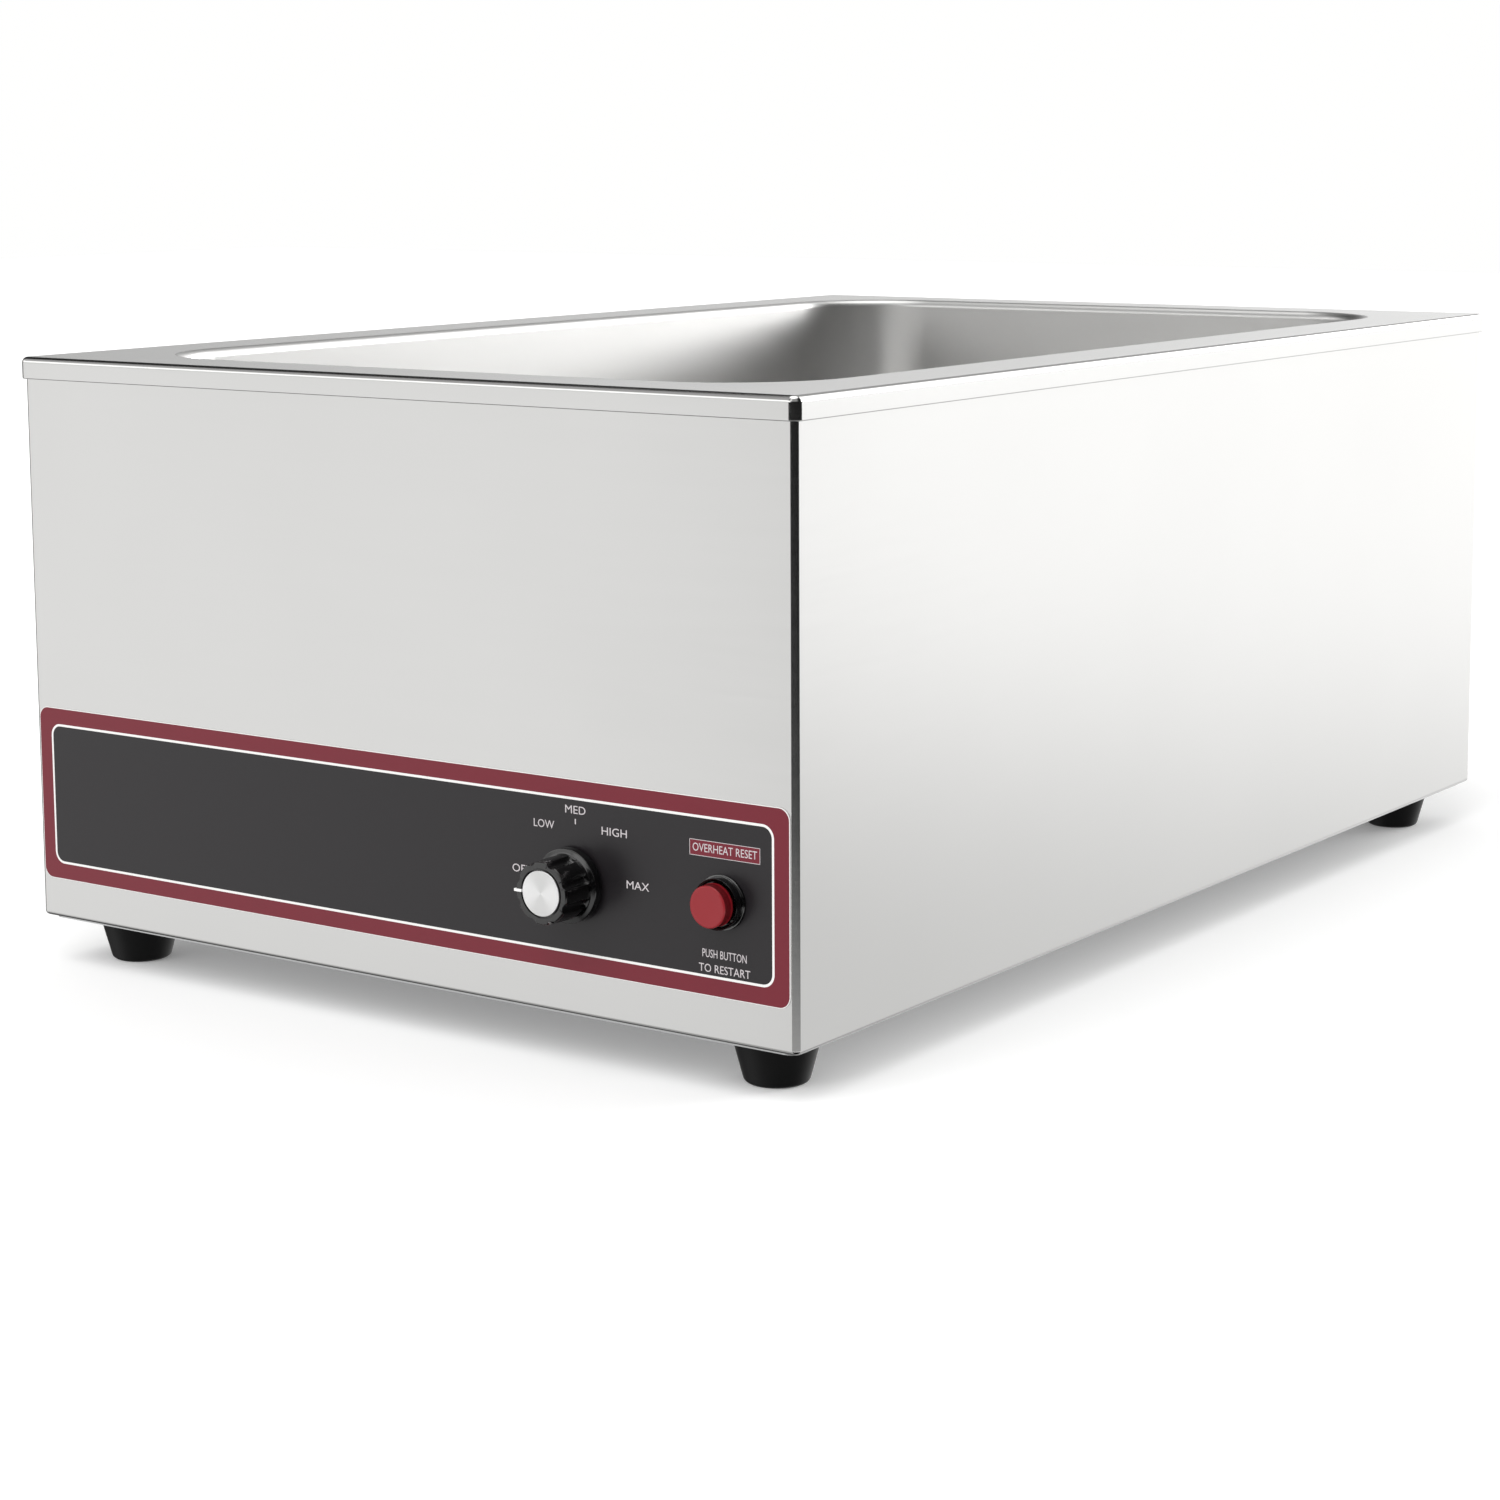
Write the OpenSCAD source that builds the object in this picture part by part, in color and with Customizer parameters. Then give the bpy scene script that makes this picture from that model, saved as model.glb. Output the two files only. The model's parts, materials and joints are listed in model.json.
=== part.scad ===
// Steam table food warmer: a drawn water pan in a bent sheet casing, on four feet.
// Sizes in millimetres. Z is up, the floor is z = 0 and the control panel faces -Y.

/* [Cabinet] */
// Width across the rim
cabinet_w = 368; // [352:1:420]
// Depth across the rim
cabinet_d = 572; // [560:1:640]
// Height from the floor to the top of the deck
cabinet_h = 242; // [228:1:290]
// Thickness of the sheet steel
sheet_t = 1; // [0.8:0.1:1.2]
// Outside radius of the casing's upright bends
casing_corner_r = 2.2; // [2.1:0.1:4]
// Outside radius of the bends along the casing's top and bottom edges
casing_bend_r = 1.8; // [1.4:0.1:2]
// Width of the flanges turned in along the casing's top and bottom edges
casing_flange_w = 14; // [12:0.5:16]
// Gap between the ends of the wrapped sheet at the rear
seam_gap = 0.6; // [0.4:0.1:1.5]
// Width of the strip that joins the ends inside
seam_strip_w = 34; // [28:1:44]

/* [Rim] */
// Height of the rim turned down round the deck
rim_h = 8.6; // [6:0.1:14]
// Overhang of the rim past the casing
rim_overhang = 1.5; // [1.5:0.1:3]
// Radius of the rim's four corners
rim_corner_r = 3.4; // [2.7:0.1:6]
// Radius of the bend between deck and rim
rim_bend_r = 2.4; // [2.2:0.1:2.6]

/* [Well] */
// Distance from the rim's edge to the well's side walls
deck_side = 33; // [31:0.5:44]
// Distance from the rim's edge to the well's end walls
deck_end = 31; // [28:0.5:46]
// Depth from the deck to the floor
well_depth = 150; // [125:1:158]
// Radius of the upright corners
well_corner_r = 45; // [32:1:60]
// Radius of the lip between deck and walls
well_lip_r = 3.5; // [2.5:0.1:5]
// Radius between walls and floor
well_floor_r = 18; // [10:1:24]
// Air space between insulation and casing
air_gap = 10; // [6:0.5:12]

/* [Feet and base] */
// Height of a foot under the base plate
foot_h = 18; // [16:0.5:30]
// Diameter at the top of a foot
foot_top_d = 32.5; // [30:0.5:40]
// Diameter at the bottom of a foot, before its edge is rounded
foot_bottom_d = 23; // [22:0.5:28]
// Radius of the bottom edge of a foot
foot_edge_r = 2.5; // [1:0.1:3]
// Distance from the rim's edge to a foot's axis
foot_inset = 28.5; // [26:0.5:36]
// Distance of the base plate's edge inside the casing
base_inset = 3; // [2.5:0.1:4]
// Length of a vent slot
vent_l = 70; // [40:1:80]
// Width of a vent slot
vent_w = 5; // [3:0.1:6]

/* [Control panel] */
// Height of the overlay
overlay_h = 69; // [62:0.5:74]
// Height of the overlay's lower edge above the casing's lower edge
overlay_rise = 16; // [12:0.5:20]
// Distance from the overlay's ends to the upright bends
overlay_margin = 0.2; // [0.2:0.1:6]
// Thickness of the overlay
overlay_t = 0.5; // [0.3:0.1:0.8]
// Corner radius of the overlay
overlay_corner_r = 4.5; // [2:0.5:12]
// Distance from the overlay's right end to the button's axis
button_edge = 27.7; // [25:0.1:36]
// Distance between the axes of knob and button
knob_to_button = 64.4; // [58:0.1:80]
// Height of the knob's axis above the overlay's lower edge
knob_rise = 31.6; // [30:0.1:36]
// Height of the button's axis above the overlay's lower edge
button_rise = 33.6; // [30:0.1:36]

/* [Knob] */
// Diameter of the skirt
skirt_d = 26.8; // [25.4:0.1:30]
// Thickness of the skirt
skirt_t = 3.7; // [3:0.1:6]
// Diameter of the grip at its foot
grip_d = 23.2; // [22.6:0.1:24.4]
// Height of the knob
knob_h = 17.2; // [16.5:0.1:22]
// Space between overlay and skirt
knob_gap = 1; // [0.6:0.1:2]
// Number of flutes round the grip
flutes = 8; // [6:1:12]
// Depth of a flute
flute_depth = 1.1; // [0.6:0.1:1.4]
// Diameter of the inlay in the face
inlay_d = 16.3; // [14:0.1:17.4]
// Width of the pointer
pointer_w = 1.5; // [1:0.1:2]

/* [Button] */
// Diameter of the button
button_d = 15.1; // [13:0.1:15.3]
// Height of the button's face above the overlay
button_reach = 9.2; // [7:0.1:11]
// Travel of the button
button_travel = 1.8; // [1.2:0.1:1.8]
// Diameter of the bezel
bezel_d = 19.4; // [18.6:0.1:22]
// Height of the bezel's collar above the overlay
bezel_h = 4.5; // [3.6:0.1:6]
// Thickness of the bezel's flange
flange_t = 1.1; // [0.8:0.1:2]

/* [Heater and controls] */
// Diameter of the heating element
element_d = 8; // [6.5:0.1:8.5]
// Distance from the well's side walls to the outer legs of the element
element_side = 46; // [43:0.5:60]
// Distance from the well's end walls to the straight legs of the element
element_end = 95; // [90:1:110]
// Distance of the heat shield under the pan
shield_drop = 24; // [23:0.5:28]
// Width of the control bodies
control_w = 38; // [34:0.5:42]
// Height of the control bodies
control_h = 36; // [32:0.5:38]
// Depth of the thermostat's body
thermo_depth = 22; // [18:0.5:24]
// Depth of the limiter's body
limiter_depth = 15; // [12:0.5:16]
// Diameter of a sensing bulb
bulb_d = 6; // [5:0.1:6.6]
// Length of a sensing bulb
bulb_l = 90; // [70:1:110]

/* [Cord gland] */
// Reach of the gland behind the casing
gland_reach = 16; // [13:0.5:22]
// Diameter of the bore for the cord
gland_bore = 8.4; // [7:0.1:10]
// Distance from the casing's side to the gland's axis
gland_edge = 62.5; // [58:0.5:82]
// Height of the gland's axis above the casing's lower edge
gland_rise = 26; // [20:0.5:40]

/* [Hidden] */
$fn = 48;
casing_w = cabinet_w - 2 * rim_overhang;
casing_d = cabinet_d - 2 * rim_overhang;
casing_bottom = foot_h + sheet_t;
casing_top = cabinet_h - sheet_t;
well_w = cabinet_w - 2 * deck_side;
well_l = cabinet_d - 2 * deck_end;
floor_z = cabinet_h - well_depth;
under_z = floor_z - sheet_t;
run_gap = 0.05;
seat_gap = 0.2;
// Panel layout
overlay_w = casing_w - 2 * casing_corner_r - 2 * overlay_margin;
overlay_bottom = casing_bottom + overlay_rise;
button_x = overlay_w / 2 - button_edge;
button_z = overlay_bottom + button_rise;
knob_x = button_x - knob_to_button;
knob_z = overlay_bottom + knob_rise;
// Knob and thermostat
knob_base = overlay_t + knob_gap;
knob_face = knob_base + knob_h;
shaft_r = 3;
bush_r = 5;
nut_t = 2.4;
shaft_end = knob_face - 4;
grub_z = knob_base + 10.6;
grip_face_r = grip_d / 2 - 0.4;
flute_r = 2.2;
thermo_back = -sheet_t - thermo_depth;
blade_l = 8;
// Button and limiter
barrel_r = 7;
collar_r = 8.5;
barrel_end = -sheet_t - 9;
recess_z = overlay_t + bezel_h - button_travel - 0.4;
button_back = overlay_t + bezel_h - 0.2;
stem_r = 2;
pocket_r = 5.2;
pocket_z = barrel_end + 1.5;
limiter_back = barrel_end - limiter_depth;
// Heater hung under the pan
element_pitch = (well_w - 2 * element_side) / 3;
element_leg = well_l - 2 * element_end;
leg_x = [for (k = [-1.5, -0.5, 0.5, 1.5]) k * element_pitch];
element_z = under_z - element_d / 2 - seat_gap;
tail_y = -element_leg / 2 - 45;
pin_l = 14;
pin_y = tail_y - pin_l;
clamp_y = 0.3 * element_leg;
clamp_t = 2;
clamp_z = element_z - element_d / 2 - seat_gap - clamp_t;
stud_r = 2.5;
stud_nut_t = 4;
shield_t = 0.8;
shield_w = well_w - 22;
shield_l = well_l - 80;
shield_z = under_z - shield_drop - shield_t;
stud_points = [for (x = [-1, 1], y = [-1, 1]) [x * element_pitch, y * clamp_y]];
bulb_z = under_z - bulb_d / 2 - seat_gap;
bulb_y = -10;
bulb_front = bulb_y - bulb_l / 2;
clip_w = 10;
clip_y = [for (s = [-1, 1]) bulb_y + s * 0.28 * bulb_l];
// Insulation
lining_z = floor_z + well_floor_r + 4;
lining_h = cabinet_h - 10 - lining_z;
side_lining_t = casing_w / 2 - sheet_t - well_w / 2 - sheet_t - air_gap;
end_lining_t = casing_d / 2 - sheet_t - well_l / 2 - sheet_t - air_gap;
// Base
foot_x = cabinet_w / 2 - foot_inset;
foot_y = cabinet_d / 2 - foot_inset;
foot_bore_r = 2.7;
foot_sink_r = 6;
foot_sink_h = 9;
screw_x = casing_w / 2 - casing_flange_w / 2 - 3;
screw_y = casing_d / 2 - casing_flange_w / 2 - 3;
base_screw_points = concat(
    [for (x = [-1, 1], y = [-1, 0, 1]) [x * screw_x, y * 0.53 * screw_y]],
    [for (x = [-1, 1], y = [-1, 1]) [x * 0.52 * screw_x, y * screw_y]]);
vent_points = [for (x = [-1, 1], k = [-3 : 3]) [x * 0.22 * casing_w, 2.2 * vent_w * k]];
// Rear seam
rivet_points = [for (x = [-1, 1], k = [0 : 4])
    [x * seam_strip_w / 4, casing_bottom + 24 + k * (casing_top - casing_bottom - 48) / 4]];
rivet_r = 1.6;
// Wiring
gland_z = casing_bottom + gland_rise;
gland_x = casing_w / 2 - gland_edge;
block_x = gland_x;
block_y = casing_d / 2 - 52;
block_h = 22;
block_l = 20;
pole_pitch = 13;
block_w = 3 * pole_pitch + 1;
ear_w = 7;
ear_t = 4;
block_screw = block_w / 2 + 3;
pole_z = casing_bottom + block_h / 2;
earth_x = block_x - 60;
earth_y = block_y + 2;
lug_y = earth_y - 14;
wire_r = 1.3;
wire_lead = 0.3;
capillary_r = 0.9;
thermo_blade = [for (s = [-1, 1])
    [knob_x + 10 * s, -casing_d / 2 - thermo_back - thermo_depth / 2, knob_z - control_h / 2 - blade_l]];
limiter_blade = [for (s = [-1, 1])
    [button_x + 9 * s, -casing_d / 2 - limiter_back - limiter_depth / 2,
     button_z - control_h / 2 - blade_l]];
pole = [for (k = [1, 0, -1]) [block_x + pole_pitch * k, block_y - block_l / 2, pole_z]];
run_x = casing_w / 2 - 42.5;
run_z = casing_bottom + 5;
front_y = -casing_d / 2 + 59.5;
live_points = [pole[0] + [0, -wire_lead, 0], pole[0] + [0, -4, 0], pole[0] + [0, -12, -2.5],
    [run_x - 2, block_y - 42.5, run_z], [run_x, 0.176 * casing_d, run_z], [run_x, -0.176 * casing_d, run_z],
    [limiter_blade[0][0] - 2, front_y, run_z],
    limiter_blade[0] + [-0.6, 8, -15], limiter_blade[0] + [0, 1.5, -9], limiter_blade[0] + [0, 0, -4],
    limiter_blade[0] + [0, 0, -wire_lead]];
link_points = [limiter_blade[1] + [0, 0, -wire_lead], limiter_blade[1] + [0, 0, -3.5],
    limiter_blade[1] + [-2, -4, -8.5], limiter_blade[1] + [-11, -9, -11.5],
    thermo_blade[0] + [18, -5, -11], thermo_blade[0] + [5.5, -2.5, -9.5],
    thermo_blade[0] + [0, 0, -4.5], thermo_blade[0] + [0, 0, -wire_lead]];
right_pin = [leg_x[3], pin_y, element_z];
left_pin = [leg_x[0], pin_y, element_z];
load_points = [thermo_blade[1] + [0, 0, -wire_lead], thermo_blade[1] + [0, 0.4, -4],
    thermo_blade[1] + [0.6, 5, -8.4], thermo_blade[1] + [2, 14, -9],
    [right_pin[0] + 2, pin_y - 26, 0.6 * thermo_blade[1][2] + 0.4 * element_z],
    right_pin + [1, -23, -12], right_pin + [0, -18, -3], right_pin + [0, -10, 0],
    right_pin + [0, -wire_lead, 0]];
neutral_points = [left_pin + [0, -wire_lead, 0], left_pin + [0, -10, 0], left_pin + [0, -18, -4],
    left_pin + [0, -23, -18],
    [left_pin[0] + 1, pin_y - 18, run_z + 10], [left_pin[0] + 10, pin_y + 24, run_z],
    [-0.164 * casing_w, 0, run_z], [block_x - 80, block_y - 72.5, run_z],
    pole[1] + [0, -14, -4], pole[1] + [0, -5, 0], pole[1] + [0, -wire_lead, 0]];
earth_points = [pole[2] + [0, -wire_lead, 0], pole[2] + [0, -4, 0], pole[2] + [-2, -9, -2],
    pole[2] + [-11, -17, -5.5], [earth_x + 12, lug_y - 17, casing_bottom + 4],
    [earth_x + 1, lug_y - 9, casing_bottom + 2.6],
    [earth_x, lug_y - 4, casing_bottom + 2.2], [earth_x, lug_y - wire_lead, casing_bottom + 2.2]];
capillary_y = -casing_d / 2 - thermo_back + 11;
capillary_run = bulb_front - 29 - capillary_y;
thermo_capillary_points = [
    [knob_x, -casing_d / 2 - thermo_back + wire_lead, knob_z + 10],
    [knob_x, -casing_d / 2 - thermo_back + 4, knob_z + 10], [knob_x - 1, capillary_y, knob_z + 10.5],
    [0.68 * knob_x, capillary_y + 0.15 * capillary_run, under_z - 12.5],
    [0.28 * knob_x, capillary_y + 0.36 * capillary_run, under_z - 13.5],
    [0.07 * knob_x, capillary_y + 0.6 * capillary_run, under_z - 14.5],
    [0, capillary_y + 0.78 * capillary_run, under_z - 15.5],
    [0, bulb_front - 29, under_z - 15], [0, bulb_front - 11, bulb_z - 4],
    [0, bulb_front - 4, bulb_z], [0, bulb_front - wire_lead, bulb_z]];
limiter_capillary_points = [
    [button_x, -casing_d / 2 - limiter_back + wire_lead, button_z + 10],
    [button_x, -casing_d / 2 - limiter_back + 4, button_z + 10],
    [button_x - 3, -casing_d / 2 - limiter_back + 12, button_z + 10.5],
    [0.79 * button_x, front_y - 3, under_z - 12], [0.525 * button_x, front_y + 45, under_z - 13],
    [element_pitch - 12, -clamp_y - 35, under_z - 15], [element_pitch - 13, -clamp_y, under_z - 15.5],
    [element_pitch - 8, bulb_front - 20, under_z - 13],
    [element_pitch - 1, bulb_front - 8, bulb_z - 2], [element_pitch, bulb_front - 4, bulb_z],
    [element_pitch, bulb_front - wire_lead, bulb_z]];
// Spring under the button
coil_r = 3.8;
coil_wire_r = 0.4;
coil_turns = 5;
coil_low = pocket_z + coil_wire_r + 0.1;
coil_high = button_back - coil_wire_r - 0.1;
coil_points = [for (k = [0 : coil_turns * 12])
    [coil_r * cos(30 * k), coil_r * sin(30 * k),
     coil_low + (coil_high - coil_low) * k / (coil_turns * 12)]];
echo(coil_gap = (coil_high - coil_low) / coil_turns - 2 * coil_wire_r);

steel = [0.80, 0.80, 0.79];
dark = [0.10, 0.10, 0.11];

// Curve through hand-chosen points
function bend4(a, b, c, d, t) = 0.5 * (2 * b + (c - a) * t + (2 * a - 5 * b + 4 * c - d) * t * t
    + (3 * b - a - 3 * c + d) * t * t * t);
function curve(p, n) = concat(
    [for (i = [0 : len(p) - 2]) for (k = [0 : n - 1])
        bend4(p[max(i - 1, 0)], p[i], p[i + 1], p[min(i + 2, len(p) - 1)], k / n)],
    [p[len(p) - 1]]);
function unit(v) = v / norm(v);
function heading(p, i) = unit(p[min(i + 1, len(p) - 1)] - p[max(i - 1, 0)]);
function square_to(t) = unit(cross(t, abs(t[2]) < 0.8 ? [0, 0, 1] : [1, 0, 0]));
function carry(p, i, n) = let (t = heading(p, i)) unit(n - (n * t) * t);
function normals(p, i = 1, made = undef) = let (m = is_undef(made) ? [square_to(heading(p, 0))] : made)
    i == len(p) ? m : normals(p, i + 1, concat(m, [carry(p, i, m[i - 1])]));

// Tube of round section along a list of points
module tube(p, r, sides = 8) {
    n = normals(p);
    ring = [for (i = [0 : len(p) - 1]) let (t = heading(p, i), b = cross(t, n[i]))
        for (k = [0 : sides - 1]) p[i] + r * (cos(360 * k / sides) * n[i] + sin(360 * k / sides) * b)];
    last = (len(p) - 1) * sides;
    walls = [for (i = [0 : len(p) - 2]) for (k = [0 : sides - 1])
        let (a = i * sides + k, b = i * sides + (k + 1) % sides)
        for (f = [[a, a + sides, b], [b, a + sides, b + sides]]) f];
    ends = [for (k = [1 : sides - 2]) for (f = [[0, k, k + 1], [last, last + k + 1, last + k]]) f];
    polyhedron(points = ring, faces = concat(walls, ends), convexity = 6);
}

// Rectangle with round corners, centred
module rounded_rect(w, l, r) {
    square([w - 2 * r, l], center = true);
    square([w, l - 2 * r], center = true);
    for (sx = [-1, 1], sy = [-1, 1])
        translate([sx * (w / 2 - r), sy * (l / 2 - r)]) circle(r);
}

// Quarter of a ring in the first quadrant, then turned
module quarter_ring(r_out, r_in, turn = 0) {
    rotate(turn) intersection() {
        difference() {
            circle(r_out);
            circle(r_in);
        }
        square(r_out);
    }
}

// Section carried round a rounded rectangle; the section's x = 0 is the axis of the corners
module swept_round(w, l, r) {
    for (i = [0 : 3]) {
        hx = w / 2 - r;
        hy = l / 2 - r;
        along_y = i % 2 == 0;
        translate([(i == 0 || i == 3 ? 1 : -1) * hx, (i < 2 ? 1 : -1) * hy, 0])
            rotate(90 * i) rotate_extrude(angle = 90) children();
        rotate(90 * i) translate([along_y ? hx : hy, 0, 0])
            rotate([90, 0, 0]) linear_extrude(2 * (along_y ? hy : hx), center = true) children();
    }
}

// Local x right, y up and z out of the front wall
module on_panel(x, z) {
    translate([x, -casing_d / 2, z]) rotate([90, 0, 0]) children();
}

// Local z out of the rear wall
module on_rear(x, z) {
    translate([x, casing_d / 2, z]) rotate([-90, 0, 0]) children();
}

module hex(across, h) {
    cylinder(d = across / cos(30), h = h, $fn = 6);
}

module hex_nut(across, h, bore_r) {
    difference() {
        hex(across, h);
        translate([0, 0, -1]) cylinder(r = bore_r, h = h + 2);
    }
}

module box_at(w, l, h, at) {
    translate([at[0] - w / 2, at[1] - l / 2, at[2]]) cube([w, l, h]);
}

module casing() color(steel) difference() {
    union() {
        swept_round(casing_w, casing_d, casing_corner_r) {
            translate([casing_corner_r - sheet_t, casing_bottom + casing_bend_r])
                square([sheet_t, casing_top - casing_bottom - 2 * casing_bend_r]);
            translate([casing_corner_r - casing_bend_r, casing_top - casing_bend_r])
                quarter_ring(casing_bend_r, casing_bend_r - sheet_t);
            translate([casing_corner_r - casing_bend_r, casing_bottom + casing_bend_r])
                quarter_ring(casing_bend_r, casing_bend_r - sheet_t, 270);
        }
        for (z = [casing_bottom, casing_top - sheet_t])
            translate([0, 0, z]) linear_extrude(sheet_t) difference() {
                rounded_rect(casing_w - 2 * casing_bend_r, casing_d - 2 * casing_bend_r,
                    casing_corner_r - casing_bend_r);
                square([casing_w - 2 * casing_flange_w, casing_d - 2 * casing_flange_w], center = true);
            }
    }
    translate([-seam_gap / 2, casing_d / 2 - casing_flange_w - 1, casing_bottom - 1])
        cube([seam_gap, casing_flange_w + 2, casing_top - casing_bottom + 2]);
    on_panel(knob_x, knob_z) translate([0, 0, -5]) cylinder(r = bush_r + 0.2, h = 10);
    on_panel(button_x, button_z) translate([0, 0, -5]) cylinder(r = barrel_r + 0.2, h = 10);
    on_rear(gland_x, gland_z) translate([0, 0, -5]) cylinder(r = 7.8, h = 10);
    for (p = rivet_points) on_rear(p[0], p[1]) translate([0, 0, -5]) cylinder(r = rivet_r + 0.1, h = 10);
    for (p = base_screw_points) translate([p[0], p[1], casing_bottom - 1]) cylinder(r = 2.1, h = 3);
}

module seam_strip() color(steel) difference() {
    translate([-seam_strip_w / 2, casing_d / 2 - 2 * sheet_t, casing_bottom + 6])
        cube([seam_strip_w, sheet_t, casing_top - casing_bottom - 12]);
    for (p = rivet_points) on_rear(p[0], p[1]) translate([0, 0, -5]) cylinder(r = rivet_r + 0.1, h = 10);
}

module seam_rivets() color(steel) for (p = rivet_points) on_rear(p[0], p[1]) rotate_extrude() {
    translate([0, -2 * sheet_t]) square([rivet_r, 2 * sheet_t]);
    translate([0, -2 * sheet_t - 1.2]) square([2.6, 1.2]);
    intersection() {
        translate([0, -4.6]) circle(5.6);
        square([3.2, 1.2]);
    }
}

module water_pan() color(steel) union() {
    translate([0, 0, cabinet_h - sheet_t]) linear_extrude(sheet_t) difference() {
        rounded_rect(cabinet_w - 2 * rim_bend_r, cabinet_d - 2 * rim_bend_r, rim_corner_r - rim_bend_r);
        rounded_rect(well_w + 2 * well_lip_r, well_l + 2 * well_lip_r, well_corner_r + well_lip_r);
    }
    swept_round(cabinet_w, cabinet_d, rim_corner_r) {
        translate([rim_corner_r - rim_bend_r, cabinet_h - rim_bend_r])
            quarter_ring(rim_bend_r, rim_bend_r - sheet_t);
        translate([rim_corner_r - sheet_t, cabinet_h - rim_h]) square([sheet_t, rim_h - rim_bend_r]);
    }
    swept_round(well_w, well_l, well_corner_r) {
        translate([well_corner_r + well_lip_r, cabinet_h - well_lip_r])
            quarter_ring(well_lip_r, well_lip_r - sheet_t, 90);
        translate([well_corner_r, floor_z + well_floor_r])
            square([sheet_t, well_depth - well_floor_r - well_lip_r]);
        translate([well_corner_r - well_floor_r, floor_z + well_floor_r])
            quarter_ring(well_floor_r + sheet_t, well_floor_r, 270);
    }
    translate([0, 0, under_z]) linear_extrude(sheet_t)
        rounded_rect(well_w - 2 * well_floor_r, well_l - 2 * well_floor_r, well_corner_r - well_floor_r);
}

module base_plate() color(steel) translate([0, 0, foot_h]) linear_extrude(sheet_t) difference() {
    rounded_rect(casing_w - 2 * base_inset, casing_d - 2 * base_inset, 4);
    for (x = [-1, 1], y = [-1, 1]) translate([x * foot_x, y * foot_y]) circle(foot_bore_r);
    for (p = base_screw_points) translate(p) circle(2.1);
    for (s = [-1, 1]) translate([block_x + s * block_screw, block_y]) circle(1.7);
    for (p = vent_points) translate(p) {
        square([vent_l - vent_w, vent_w], center = true);
        for (s = [-1, 1]) translate([s * (vent_l - vent_w) / 2, 0]) circle(d = vent_w);
    }
}

module base_screws() color(steel) for (p = base_screw_points) translate([p[0], p[1], foot_h]) {
    translate([0, 0, -1.3]) cylinder(r1 = 3, r2 = 3.6, h = 0.5);
    translate([0, 0, -0.8]) cylinder(r = 3.6, h = 0.8);
    cylinder(r = 1.9, h = 7);
}

module control_overlay() color(dark) on_panel(0, overlay_bottom + overlay_h / 2)
    linear_extrude(overlay_t) difference() {
        rounded_rect(overlay_w, overlay_h, overlay_corner_r);
        translate([knob_x, knob_rise - overlay_h / 2]) circle(9);
        translate([button_x, button_rise - overlay_h / 2]) circle(barrel_r + 0.4);
    }

module knob_body() color(dark) on_panel(knob_x, knob_z) difference() {
    rotate_extrude() polygon([
        [0, knob_base], [skirt_d / 2 - 0.4, knob_base], [skirt_d / 2, knob_base + 0.4],
        [skirt_d / 2, knob_base + skirt_t - 0.6], [skirt_d / 2 - 0.4, knob_base + skirt_t - 0.2],
        [grip_d / 2, knob_base + skirt_t], [grip_face_r, knob_face - 0.6],
        [grip_face_r - 0.6, knob_face], [0, knob_face]]);
    for (k = [0 : flutes - 1]) rotate(180 + (k + 0.5) * 360 / flutes)
        translate([grip_face_r - flute_depth + flute_r, 0, knob_base + skirt_t + 0.6])
            cylinder(r = flute_r, h = knob_h);
    translate([0, 0, knob_face - 0.8]) cylinder(d = inlay_d + 0.1, h = 2);
    translate([-grip_d, -pointer_w / 2 - 0.05, knob_face - 1.7])
        cube([grip_d - inlay_d / 2 - 0.4, pointer_w + 0.1, 3]);
    translate([0, 0, knob_base - 1]) cylinder(r = 9.4, h = 1 + nut_t + 1.2);
    difference() {
        cylinder(r = shaft_r + run_gap, h = shaft_end + 0.2);
        translate([-5, -5 - 2.45, knob_base + 5]) cube([10, 5, knob_h]);
    }
    translate([0, 0, grub_z]) rotate([90, 0, 0]) cylinder(r = 1.55, h = grip_d);
}

module knob_inlay() color([0.86, 0.86, 0.85]) on_panel(knob_x, knob_z) translate([0, 0, knob_face - 0.8]) {
    cylinder(d = inlay_d, h = 0.7);
    translate([0, 0, 0.7]) cylinder(d1 = inlay_d, d2 = inlay_d - 0.6, h = 0.3);
}

module knob_pointer() color("white") on_panel(knob_x, knob_z)
    translate([-grip_face_r - 1.5, -pointer_w / 2, knob_face - 1.7])
        cube([grip_face_r + 1.5 - inlay_d / 2 - 0.5, pointer_w, 1.9]);

module knob_grub_screw() color(dark) on_panel(knob_x, knob_z)
    translate([0, 0, grub_z]) rotate([90, 0, 0]) difference() {
        translate([0, 0, 2.45]) cylinder(r = 1.5, h = 5.5);
        translate([0, 0, 6.2]) hex(1.5, 3);
    }

module thermostat_shaft() color([0.75, 0.70, 0.50]) on_panel(knob_x, knob_z) difference() {
    translate([0, 0, -sheet_t - 7.8]) cylinder(r = shaft_r, h = shaft_end + sheet_t + 7.8);
    translate([-5, -5 - 2.4, knob_base + 4.8]) cube([10, 5, knob_h]);
}

module thermostat_body() color([0.55, 0.55, 0.56]) on_panel(knob_x, knob_z) difference() {
    union() {
        translate([0, 0, thermo_back]) linear_extrude(thermo_depth) rounded_rect(control_w, control_h, 2);
        translate([0, 0, -sheet_t - 1]) cylinder(r = bush_r, h = sheet_t + nut_t + 1.4);
    }
    translate([0, 0, -sheet_t - 8]) cylinder(r = shaft_r + run_gap, h = 20);
}

module thermostat_nut() color(steel) on_panel(knob_x, knob_z) hex_nut(14, nut_t, bush_r + 0.1);

module blades(points) color([0.80, 0.66, 0.35]) for (p = points)
    translate([p[0] - 3.1, p[1] - 0.4, p[2]]) cube([6.2, 0.8, blade_l]);

module thermostat_terminals() blades(thermo_blade);

module limiter_terminals() blades(limiter_blade);

module thermostat_capillary() color([0.72, 0.45, 0.28])
    tube(curve(thermo_capillary_points, 3), capillary_r, 6);

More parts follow.
